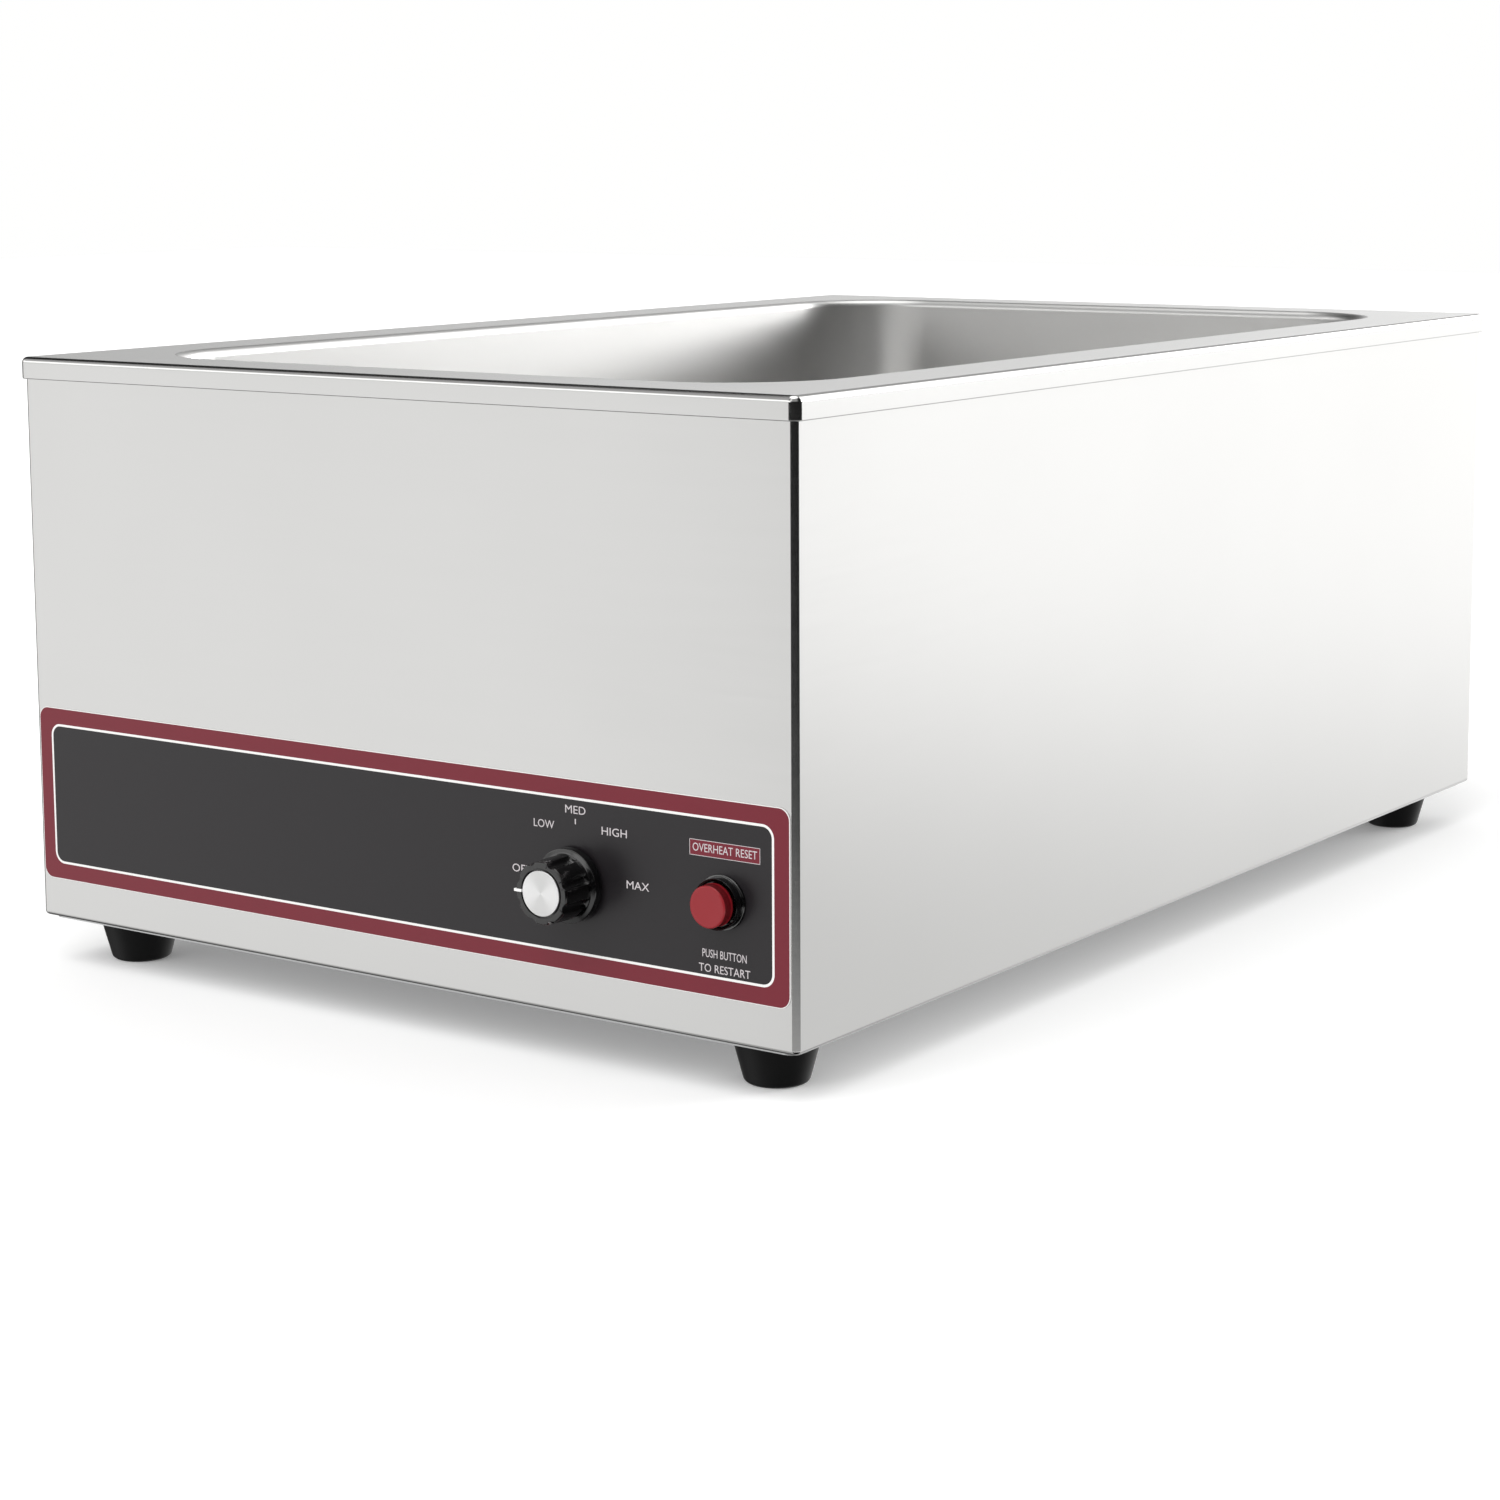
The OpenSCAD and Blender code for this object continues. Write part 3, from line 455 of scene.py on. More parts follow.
def copies(obj, places, name):
    """Copies with their own meshes, joined as one piece"""
    made = []
    for place in places:
        activate(obj)
        bpy.ops.object.duplicate()
        twin = bpy.context.object
        put(twin, place)
        made.append(twin)
    discard(obj)
    return join(made, name)


def smooth(obj, angle=40.0, flats=True):
    """Smooth bends between flat faces"""
    activate(obj)
    bpy.ops.object.shade_smooth_by_angle(angle=math.radians(angle))
    if flats:
        apply_modifier(obj, "WEIGHTED_NORMAL", keep_sharp=True, weight=100, mode="FACE_AREA")


def dress(obj, *looks):
    obj.data.materials.clear()
    for look in looks:
        obj.data.materials.append(look)


def settle(obj, body, slot_name, *nodes):
    """Says what a finished piece rides on and the solids it stands for; the slot name is not used"""
    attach(obj, body)
    if nodes:
        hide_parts(*nodes)


# Materials

def tree(name):
    """New material with its nodes and its shader"""
    mat = bpy.data.materials.new(name)
    mat.use_nodes = True
    nt = mat.node_tree
    nt.nodes.clear()
    out = nt.nodes.new("ShaderNodeOutputMaterial")
    shader = nt.nodes.new("ShaderNodeBsdfPrincipled")
    nt.links.new(shader.outputs["BSDF"], out.inputs["Surface"])
    return mat, nt, shader


def feed(nt, node, values):
    """Sets or links sockets by name or number"""
    for key, value in values.items():
        socket = node.inputs[key]
        if isinstance(value, bpy.types.NodeSocket):
            nt.links.new(value, socket)
        else:
            socket.default_value = value


def sums(nt, operation, *values):
    """Math node, or a row of them for more than two values"""
    if len(values) > 2:
        values = (sums(nt, operation, *values[:-1]), values[-1])
    node = nt.nodes.new("ShaderNodeMath")
    node.operation = operation
    feed(nt, node, dict(enumerate(values)))
    return node.outputs[0]


def ramp(nt, value, low, high, to_low=0.0, to_high=1.0):
    node = nt.nodes.new("ShaderNodeMapRange")
    node.interpolation_type = "SMOOTHSTEP"
    feed(nt, node, {"Value": value, "From Min": low, "From Max": high,
                    "To Min": to_low, "To Max": to_high})
    return node.outputs["Result"]


def noise(nt, vector, scale, detail=2.0, roughness=0.5):
    node = nt.nodes.new("ShaderNodeTexNoise")
    feed(nt, node, {"Vector": vector, "Scale": scale, "Detail": detail, "Roughness": roughness})
    return node.outputs["Fac"]


def blend(nt, factor, dark, light):
    node = nt.nodes.new("ShaderNodeMix")
    node.data_type = "RGBA"
    feed(nt, node, {"Factor": factor, "A": dark, "B": light})
    return node.outputs["Result"]


def object_coords(nt, place=(0, 0, 0), stretch=(1, 1, 1)):
    coords = nt.nodes.new("ShaderNodeTexCoord")
    mapping = nt.nodes.new("ShaderNodeMapping")
    feed(nt, mapping, {"Vector": coords.outputs["Object"], "Location": place, "Scale": stretch})
    return mapping.outputs["Vector"]


def split_vector(nt, vector):
    node = nt.nodes.new("ShaderNodeSeparateXYZ")
    nt.links.new(vector, node.inputs["Vector"])
    return node.outputs


def bump(nt, height, distance, normal=None):
    node = nt.nodes.new("ShaderNodeBump")
    feed(nt, node, {"Height": height, "Distance": distance, "Strength": 1.0})
    if normal:
        nt.links.new(normal, node.inputs["Normal"])
    return node.outputs["Normal"]


def group(name, inputs, outputs):
    """Node group with its sockets, given as a kind for each name"""
    nt = bpy.data.node_groups.new(name, "ShaderNodeTree")
    for way, sockets in (("INPUT", inputs), ("OUTPUT", outputs)):
        for key, kind in sockets.items():
            nt.interface.new_socket(name=key, in_out=way, socket_type="NodeSocket" + kind)
    return nt, nt.nodes.new("NodeGroupInput").outputs, nt.nodes.new("NodeGroupOutput")


def placed(nt, name, **values):
    node = nt.nodes.new("ShaderNodeGroup")
    node.node_tree = bpy.data.node_groups[name]
    feed(nt, node, values)
    return node.outputs


def swing(nt, usual, pattern, spread):
    """Value that a pattern moves up and down round its usual one"""
    change = sums(nt, "MULTIPLY", sums(nt, "SUBTRACT", pattern, 0.5), spread)
    return sums(nt, "ADD", usual, change)


def make_groups():
    """Effects that several finishes share"""
    if bpy.data.node_groups.get("polishing_lines"):
        return
    surface = {"Vector": "Vector", "Fineness": "Float", "Rough": "Float", "Spread": "Float"}
    # Scale of the wide patches and clouds, as a share of the fineness
    patch_share, cloud_share = 0.012, 0.02

    nt, take, give = group("polishing_lines", surface, {"Roughness": "Float", "Height": "Float"})
    lines = noise(nt, take["Vector"], take["Fineness"], 3.0, 0.6)
    wide = sums(nt, "MULTIPLY", take["Fineness"], patch_share)
    patches = noise(nt, take["Vector"], wide, 2.0, 0.5)
    both = sums(nt, "ADD", sums(nt, "MULTIPLY", lines, 0.6), sums(nt, "MULTIPLY", patches, 0.4))
    feed(nt, give, {"Roughness": swing(nt, take["Rough"], both, take["Spread"]), "Height": lines})

    nt, take, give = group("sheet_sway", {"Vector": "Vector", "Waves": "Float"},
                           {"Height": "Float"})
    feed(nt, give, {"Height": noise(nt, take["Vector"], take["Waves"], 1.0, 0.4)})

    nt, take, give = group("moulded_grain", {**surface, "Dark": "Color", "Light": "Color"},
                           {"Color": "Color", "Roughness": "Float", "Height": "Float"})
    grain = noise(nt, take["Vector"], take["Fineness"], 2.0, 0.6)
    wide = sums(nt, "MULTIPLY", take["Fineness"], cloud_share)
    clouds = noise(nt, take["Vector"], wide, 3.0, 0.55)
    feed(nt, give, {"Color": blend(nt, clouds, take["Dark"], take["Light"]), "Height": grain,
                    "Roughness": swing(nt, take["Rough"], clouds, take["Spread"])})


def tint(rgb, k):
    return tuple(min(1.0, c * k) for c in rgb) + (1.0,)


def sheet_metal(name, rgb, rough, spread=0.06, stretch=(4, 4, 90), fineness=4.0, lines=0.000004,
                sway=0.00012, waves=7.0, patches=9.0):
    """Polished or brushed sheet: fine lines, slow waves and soft patches of gloss"""
    mat, nt, shader = tree(name)
    flat = object_coords(nt)
    grain = placed(nt, "polishing_lines", Vector=object_coords(nt, stretch=stretch),
                   Fineness=fineness, Rough=rough, Spread=spread)
    wave = placed(nt, "sheet_sway", Vector=flat, Waves=waves)
    slow = bump(nt, wave["Height"], sway)
    tone = blend(nt, noise(nt, flat, patches, 3.0), tint(rgb, 0.97), tint(rgb, 1.02))
    feed(nt, shader, {"Base Color": tone, "Metallic": 1.0, "Roughness": grain["Roughness"],
                      "Normal": bump(nt, grain["Height"], lines, slow)})
    return mat


def moulded(name, rgb, rough, fineness, depth, spread, contrast, metallic=0.0, level=0.5,
            coat=0.0, glow=0.0):
    """Moulded plastic, rubber, ink, paint, paper or plain metal with a fine grain"""
    mat, nt, shader = tree(name)
    grain = placed(nt, "moulded_grain", Vector=object_coords(nt), Fineness=fineness, Rough=rough,
                   Spread=spread, Dark=tint(rgb, 1 - contrast / 2),
                   Light=tint(rgb, 1 + contrast / 2))
    feed(nt, shader, {"Base Color": grain["Color"], "Roughness": grain["Roughness"],
                      "Normal": bump(nt, grain["Height"], depth), "Metallic": metallic,
                      "Specular IOR Level": level, "Coat Weight": coat, "Coat Roughness": 0.07})
    if glow:
        feed(nt, shader, {"Emission Color": (1.0, 1.0, 1.0, 1.0), "Emission Strength": glow})
    return mat


def spun_face(name, rgb, axis):
    """Turned aluminium: rings about the knob's axis, and two pairs of soft sectors painted lighter
    and darker as painted highlights and shade
    """
    mat, nt, shader = tree(name)
    x, _, z = split_vector(nt, object_coords(nt, place=(-axis.x, 0, -axis.z)))
    square = sums(nt, "ADD", sums(nt, "MULTIPLY", x, x), sums(nt, "MULTIPLY", z, z))
    rings = nt.nodes.new("ShaderNodeTexNoise")
    rings.noise_dimensions = "1D"
    feed(nt, rings, {"W": sums(nt, "SQRT", square), "Scale": 9000.0, "Detail": 2.0})
    ring = rings.outputs["Fac"]
    angle = sums(nt, "ARCTAN2", z, x)
    # Painted highlight and shade: two opposite sectors of the base colour lighter, the two between
    # them darker
    sector = ramp(nt, sums(nt, "COSINE", sums(nt, "MULTIPLY", angle, 2.0)), -1.0, 1.0)
    feed(nt, shader, {"Base Color": blend(nt, sector, tint(rgb, 0.86), tint(rgb, 1.06)),
                      "Roughness": ramp(nt, ring, 0.2, 0.8, 0.30, 0.44),
                      "Normal": bump(nt, ring, 0.00001), "Metallic": 1.0})
    return mat


def fibre(name, rgb):
    """Pressed mineral fibre"""
    mat, nt, shader = tree(name)
    strands = noise(nt, object_coords(nt, stretch=(1, 1, 3)), 420.0, 6.0, 0.75)
    feed(nt, shader, {"Base Color": blend(nt, strands, tint(rgb, 0.72), tint(rgb, 1.1)),
                      "Roughness": ramp(nt, strands, 0.2, 0.8, 0.85, 1.0),
                      "Normal": bump(nt, strands, 0.0008), "Specular IOR Level": 0.2})
    return mat


def finish(maker, name, *values, **more):
    """A finish by name, made when it is first asked for"""
    return bpy.data.materials.get(name) or maker(name, *values, **more)


def finishes(scene):
    """Every finish, by the record's slot"""
    make_groups()
    ink, knob, studio = scene.warmer_print, scene.warmer_controls, scene.warmer_studio
    black, red, steel = knob.knob_colour, knob.cap_colour, studio.steel_colour
    mill = {"stretch": (3, 60, 60), "fineness": 5.0, "lines": 0.00001}
    film = {"fineness": 2600.0, "depth": 0.000012, "spread": 0.06}
    paint = {"fineness": 2600.0, "depth": 0.000008, "spread": 0.06, "contrast": 0.05}
    gloss = {"fineness": 1500.0, "depth": 0.000003, "contrast": 0.5, "coat": 1.0}
    cap = {"fineness": 1700.0, "depth": 0.00001, "spread": 0.08, "contrast": 0.12}
    metal = {"depth": 0.00001, "spread": 0.15, "metallic": 1.0}
    nylon = {"fineness": 1200.0, "depth": 0.00002, "spread": 0.1}
    wire = {**nylon, "contrast": 0.2}
    return {
        "satin_steel": finish(sheet_metal, "polished_stainless", steel, 0.17),
        "well_steel": finish(sheet_metal, "drawn_stainless", steel, 0.39),
        "plain_steel": finish(sheet_metal, "mill_sheet", (0.56, 0.565, 0.57), 0.32, 0.14, **mill),
        "plated_steel": finish(moulded, "zinc_plate", (0.62, 0.62, 0.61), 0.30, fineness=900.0,
                               contrast=0.18, **metal),
        "overlay_print": finish(moulded, "film_field", ink.field_colour, 0.36, contrast=0.3,
                                **film),
        "border_print": finish(moulded, "film_border", ink.border_colour, 0.36, contrast=0.12,
                               **film),
        "white_print": finish(moulded, "film_white", ink.line_colour, 0.42, **paint),
        "letter_print": finish(moulded, "film_letters", ink.letter_colour, 0.45, **paint),
        "knob_plastic": finish(moulded, "knob_black", black, 0.16, spread=0.08, level=0.3,
                               **gloss),
        "spun_aluminium": finish(spun_face, "spun_inlay", (0.96, 0.96, 0.955), KNOB),
        "pointer_white": finish(moulded, "pointer_paint", (0.86, 0.86, 0.85), 0.35,
                                fineness=1800.0, depth=0.00001, spread=0.08, contrast=0.05),
        "button_red": finish(moulded, "red_cap", red, 0.30, **cap),
        # Painted shade: the cap's red darkened, for the cap's sides
        "button_painted_shade": finish(moulded, "red_cap_side", tint(red, 0.4)[:3], 0.30, **cap),
        "black_plastic": finish(moulded, "black_nylon", black, 0.33, fineness=1600.0,
                                depth=0.00002, spread=0.10, contrast=0.5),
        "bezel_plastic": finish(moulded, "bezel_black", black, 0.14, spread=0.08, level=0.3,
                                **gloss),
        "bezel_edge": finish(moulded, "bezel_edge", black, 0.12, spread=0.05, level=1.0, **gloss),
        "control_metal": finish(moulded, "grey_control", (0.42, 0.42, 0.44), 0.42, fineness=700.0,
                                depth=0.00002, spread=0.15, contrast=0.2, metallic=1.0),
        "brass": finish(moulded, "machined_brass", (0.72, 0.55, 0.26), 0.28, fineness=800.0,
                        contrast=0.2, **metal),
        "copper": finish(moulded, "drawn_copper", (0.70, 0.38, 0.22), 0.30, fineness=800.0,
                         contrast=0.25, **metal),
        "element_sheath": finish(moulded, "heated_sheath", (0.17, 0.15, 0.14), 0.48,
                                 fineness=500.0, depth=0.00003, spread=0.2, contrast=0.5,
                                 metallic=1.0),
        "shield_aluminium": finish(sheet_metal, "shield_sheet", (0.80, 0.80, 0.81), 0.30, 0.12,
                                   **mill),
        "wool_board": finish(fibre, "pressed_wool", (0.72, 0.66, 0.46)),
        "foot_rubber": finish(moulded, "black_rubber", knob.foot_colour, 0.42, fineness=1300.0,
                              depth=0.000012, spread=0.15, contrast=0.6, level=0.2),
        "block_plastic": finish(moulded, "cream_block", (0.80, 0.77, 0.68), 0.45, contrast=0.12,
                                **nylon),
        "wire_brown": finish(moulded, "brown_wire", (0.20, 0.085, 0.035), 0.45, **wire),
        "wire_blue": finish(moulded, "blue_wire", (0.03, 0.10, 0.38), 0.45, **wire),
        "wire_green": finish(moulded, "green_wire", (0.06, 0.28, 0.07), 0.45, **wire),
    }


# Pieces

class WARMER_OT_water_pan(bpy.types.Operator):
    """Deck, rim and well drawn from one sheet"""
    bl_idname = "warmer.water_pan"
    bl_label = "Water pan"

    def execute(self, context):
        s = context.scene.warmer_sheet
        look = finishes(context.scene)
        top = PAN_HIGH.z
        rim_low = top - s.rim_height
        foot = PAN_LOW.z + s.sheet + s.well_foot
        rim = (PAN_HIGH.x - s.rim_corner, PAN_HIGH.y - s.rim_corner)
        well = (PAN_HIGH.x - s.deck_side - s.well_corner, PAN_HIGH.y - s.deck_end - s.well_corner)
        lip = s.well_corner + s.well_lip
        stations = [(rim, s.rim_corner, rim_low), (rim, s.rim_corner, top - s.rim_bend)]
        stations += along(rim, bend(s.rim_bend, 0, 90, s.bend_steps,
                                    s.rim_corner - s.rim_bend, top - s.rim_bend))
        stations += [(well, lip, top)]
        stations += along(well, bend(s.well_lip, 90, 180, s.bend_steps, lip, top - s.well_lip))
        stations += [(well, s.well_corner, foot)]
        stations += along(well, bend(s.well_foot, 0, -90, s.floor_steps,
                                     s.well_corner - s.well_foot, foot))
        pan = rounded_sweep("drawn_pan", stations, s.corner_steps, fill=True)
        face_along(pan, lambda co: co.z > top - TOUCH, Vector((0, 0, 1)))
        thicken(pan, s.sheet)
        edit(pan)
        pick(pan, lambda i, co: abs(co.z - rim_low) < TOUCH
             and not within(co, rim, s.rim_corner - s.sheet / 2))
        bpy.ops.mesh.bevel(offset=s.rim_edge, segments=3, affect="EDGES")
        object_mode()
        smooth(pan, 35.0)
        dress(pan, look["satin_steel"], look["well_steel"])
        for face in pan.data.polygons:
            face.material_index = 1 if within(face.center, well, lip) else 0
        settle(pan, "cabinet", "satin_steel", "water_pan")
        return {"FINISHED"}


class WARMER_OT_casing(bpy.types.Operator):
    """Wrap of bent sheet with turned-in flanges and a rear seam"""
    bl_idname = "warmer.casing"
    bl_label = "Casing"

    def execute(self, context):
        s = context.scene.warmer_sheet
        low, top = CASING_LOW.z, CASING_HIGH.z
        bottom, upper = low + s.casing_bend, top - s.casing_bend
        wall = (CASING_HIGH.x - s.casing_corner, CASING_HIGH.y - s.casing_corner)
        tip = s.casing_corner - s.casing_bend
        lip = (CASING_HIGH.x - s.flange - tip, CASING_HIGH.y - s.flange - tip)
        stations = [(lip, tip, low), (wall, tip, low)]
        stations += along(wall, bend(s.casing_bend, -90, 0, s.bend_steps, tip, bottom))
        stations += [(wall, s.casing_corner, upper)]
        stations += along(wall, bend(s.casing_bend, 0, 90, s.bend_steps, tip, upper))
        stations += [(lip, tip, top)]
        casing = rounded_sweep("casing_wrap", stations, s.corner_steps)
        face_along(casing, lambda co: abs(co.x) < TOUCH and co.y < 0 and bottom < co.z < upper,
                   Vector((0, -1, 0)))
        self.open_seam(casing, wall[0] - s.flange, s.seam / 2)
        thicken(casing, s.sheet)
        through, turn = 0.02, (QUARTER, 0, 0)
        holes = ((s.shaft_hole, KNOB, FRONT_Y), (s.button_hole, BUTTON, FRONT_Y),
                 (s.gland_hole, GLAND, REAR_Y))
        cutters = [rod(radius, through, (at.x, y, at.z), turn) for radius, at, y in holes]
        cutters += [rod(s.rivet_hole, through, (x, REAR_Y, z), turn, 16) for x, z in RIVETS]
        cutters += [rod(s.screw_hole, through / 2, (x, y, low), steps=16) for x, y in BASE_SCREWS]
        boolean(casing, cutters)
        smooth(casing, 35.0)
        dress(casing, finishes(context.scene)["satin_steel"])
        settle(casing, "cabinet", "satin_steel", "casing")
        return {"FINISHED"}

    def open_seam(self, casing, reach, half):
        """Cuts the narrow gap between the ends of the wrap out of the rear wall"""
        edit(casing)
        bpy.ops.mesh.select_mode(type="FACE")
        for side in (-1, 1):
            pick_faces(casing, lambda co: co.y > 0 and abs(co.x) < reach)
            bpy.ops.mesh.bisect(plane_co=(side * half, 0, 0), plane_no=(1, 0, 0))
        pick_faces(casing, lambda co: co.y > 0 and abs(co.x) < half)
        bpy.ops.mesh.delete(type="FACE")
        object_mode()


class WARMER_OT_overlay(bpy.types.Operator):
    """Printed film with border, line and lettering"""
    bl_idname = "warmer.overlay"
    bl_label = "Panel film"

    def execute(self, context):
        p = context.scene.warmer_print
        look = finishes(context.scene)
        thick = OVERLAY_HIGH.y - OVERLAY_LOW.y
        self.film(p, look, thick)
        self.letters(p, look, thick)
        return {"FINISHED"}

    def film(self, p, look, thick):
        mid = (OVERLAY_HIGH.z + OVERLAY_LOW.z) / 2
        half = ((OVERLAY_HIGH.x - OVERLAY_LOW.x) / 2, (OVERLAY_HIGH.z - OVERLAY_LOW.z) / 2)
        cut = p.inset + p.line_corner
        outer = (half[0] - p.corner, half[1] - p.corner)
        line = (half[0] - cut, half[1] - cut)
        stations = [(outer, p.corner, 0.0), (outer, p.corner, thick - p.edge),
                    (outer, p.corner - p.edge, thick), (outer, p.corner - p.outline, thick),
                    (line, p.line_corner, thick), (line, p.line_corner - p.line, thick)]
        film = rounded_sweep("panel_film", stations, p.corner_steps, fill=True)
        edit(film)
        pick(film, lambda i, co: co.z < TOUCH)
        bpy.ops.mesh.edge_face_add()
        outward()
        object_mode()
        through = 0.01
        boolean(film, [rod(p.shaft_hole, through, (KNOB.x, KNOB.z - mid, 0)),
                       rod(p.button_hole, through, (BUTTON.x, BUTTON.z - mid, 0))])
        dress(film, look["overlay_print"], look["border_print"], look["white_print"])
        field, border, white = range(3)
        for face in film.data.polygons:
            co = face.center
            if face.normal.z < 0.9 or not within(co, outer, p.corner - p.outline):
                face.material_index = white
            elif not within(co, line, p.line_corner):
                face.material_index = border
            elif not within(co, line, p.line_corner - p.line):
                face.material_index = white
            else:
                face.material_index = field
        smooth(film, 30.0, False)
        on_panel(film, 0, mid)
        settle(film, "cabinet", "overlay_print", "control_overlay")

    def letters(self, p, look, up):
        """Generic dial words, a tick and a framed button label, a little proud of the film"""
        label_x, label_z, wide, high, line = 0.1533, 0.0863, 0.0292, 0.0054, 0.0002
        # Each word with the x and z of its middle and its width
        words = [("OFF", 0.0645, 0.0690, 0.0080), ("LOW", 0.0750, 0.0865, 0.0092),
                 ("MED", 0.0892, 0.0930, 0.0090), ("HIGH", 0.1063, 0.0870, 0.0110),
                 ("MAX", 0.1162, 0.0693, 0.0098), ("OVERHEAT RESET", label_x, label_z, 0.0268),
                 ("PUSH BUTTON", 0.1530, 0.0498, 0.0185), ("TO RESTART", 0.1530, 0.0446, 0.0215)]
        made = [self.word(text, x, z, p.letter, width, up) for text, x, z, width in words]
        made.append(slab((0.0005, 0.0019, p.proud), (0.0892, 0.0890, up)))
        for side in (-1, 1):
            made.append(slab((line, high, p.proud), (label_x + side * wide / 2, label_z, up)))
            made.append(slab((wide + line, line, p.proud),
                             (label_x, label_z + side * high / 2, up)))
        lettering = join(made, "panel_lettering")
        slab((wide - line, high - line, p.proud / 2), (label_x, label_z, up))
        ground = named("label_ground")
        subdivide(ground, 3)
        for obj, ink in ((lettering, "letter_print"), (ground, "border_print")):
            dress(obj, look[ink])
            on_panel(obj, 0, 0)
            settle(obj, "cabinet", "overlay_print")

    def word(self, text, x, z, size, width, up):
        deselect()
        bpy.ops.object.text_add(location=(x, z, up))
        obj = bpy.context.object
        obj.data.body = text
        obj.data.size = size
        obj.data.align_x = "CENTER"
        obj.data.align_y = "CENTER"
        obj.data.resolution_u = 3
        obj.data.extrude = 0.00003
        bpy.context.view_layer.update()
        obj.scale = (width / obj.dimensions.x, 1, 1)
        bpy.ops.object.convert(target="MESH")
        obj = bpy.context.object
        apply_place()
        edit_all(obj)
        bpy.ops.mesh.remove_doubles(threshold=MERGE)
        object_mode()
        return obj


class WARMER_OT_knob(bpy.types.Operator):
    """Skirted, fluted knob with its spun inlay and pointer"""
    bl_idname = "warmer.knob"
    bl_label = "Knob"

    def execute(self, context):
        look = finishes(context.scene)
        pieces = ((self.grip(context.scene.warmer_controls), 40.0, "knob_plastic", "knob_body"),
                  (self.inlay(), 30.0, "spun_aluminium", "knob_inlay"),
                  (self.pointer(), 40.0, "pointer_white", "knob_pointer"))
        for obj, angle, slot, node in pieces:
            smooth(obj, angle)
            dress(obj, look[slot])
            on_panel(obj, KNOB.x, KNOB.z)
            settle(obj, "knob", slot, node)
        return {"FINISHED"}

    def grip(self, c):
        base, face = KNOB_BASE, KNOB_FACE
        steps = 30 * c.flutes
        skirt, foot, head, pocket, bore = 0.0134, 0.0116, 0.0112, 0.0094, 0.0031
        grip_low, grip_high, top_round = 0.0043, 0.0166, 0.0006
        wall = INLAY_RADIUS + 0.0006
        stations = [(pocket, base), (skirt - 0.0003, base), (skirt, base + 0.0003),
                    (skirt, base + 0.0031)]
        stations += bend(0.0004, 0, 78, 5, skirt - 0.0004, base + 0.0031)
        stations += [(foot + 0.0005, base + 0.00366), (foot + 0.0001, base + 0.0038),
                     (foot, base + 0.0041)]
        first = len(stations)
        # Height and share of a flute's depth, which runs out above the skirt
        rows = ((grip_low, 0.0), (0.0045, 0.5), (0.0049, 0.82), (0.0056, 1.0), (0.0090, 1.0),
                (0.0130, 1.0), (0.0164, 1.0))
        taper = (head - foot) / (grip_high - grip_low)
        stations += [(foot + taper * (z - grip_low), base + z) for z, share in rows]
        rounding = bend(top_round, 0, 90, 4, head - top_round, face - top_round)
        stations += rounding
        shares = [share for z, share in rows] + [1.0] * len(rounding)
        stations += [(wall + 0.0001, face), (wall, face - 0.0001), (wall, INLAY_SEAT)]
        knob = lathe("knob_grip", stations, steps, cap_last=True)
        # Underside: the pocket round the nut, then the shaft's bore
        edit(knob)
        pick(knob, lambda i, co: i < steps)
        carry_on([(pocket, base), (pocket, base + 0.0036), (bore, base + 0.0036),
                  (bore, base + 0.0140)])
        bpy.ops.mesh.edge_face_add()
        for n, share in enumerate(shares, first):
            if share:
                self.flute(knob, c, n, steps, stations[n][0], share, head)
        outward()
        object_mode()
        pointer_slot = slab((0.0060, 0.0011, 0.0030), (-0.0116, 0, face - 0.0002))
        boolean(knob, [pointer_slot])
        grub_hole = rod(0.00155, 0.012, (0, -0.0082, base + 0.0106), (QUARTER, 0, 0), 24)
        boolean(knob, [grub_hole])
        return knob

    def flute(self, knob, c, n, steps, radius, share, head):
        """Moves the vertices of the nth ring that a flute's circle reaches in to it"""
        ring = range(n * steps, (n + 1) * steps)
        centre = head - c.flute_depth + c.flute_radius
        pitch, column = TURN / c.flutes, TURN / steps
        for k in range(steps):
            a = k * column
            reach = c.flute_radius ** 2 - (centre * math.sin(a)) ** 2
            if reach <= 0:
                break
            deep = centre * math.cos(a) - math.sqrt(reach)
            if deep >= radius:
                break

            def in_flute(i, co):
                if i not in ring:
                    return False
                turn = (math.atan2(co.y, co.x) - pitch / 2) % pitch
                return abs(min(turn, pitch - turn) - a) < 0.3 * column

            pick(knob, in_flute)
            size = 1 - share * (1 - deep / radius)
            bpy.ops.transform.resize(value=(size, size, 1), center_override=(0, 0, 0))

    def inlay(self):
        edge, shoulder = 0.0003, KNOB_FACE - 0.0001
        stations = [(INLAY_RADIUS, INLAY_SEAT), (INLAY_RADIUS, shoulder)]
        stations += bend(edge, 0, 90, 3, INLAY_RADIUS - edge, shoulder)
        stations += [(0.0040, shoulder + edge)]
        return lathe("spun_inlay", stations, 96, cap_first=True, cap_last=True)

    def pointer(self):
        slab((0.0033, 0.0010, 0.0019), (-0.01025, 0, KNOB_FACE - 0.00075))
        pointer = named("pointer_bar")
        round_edges(pointer, 0.00012)
        return pointer


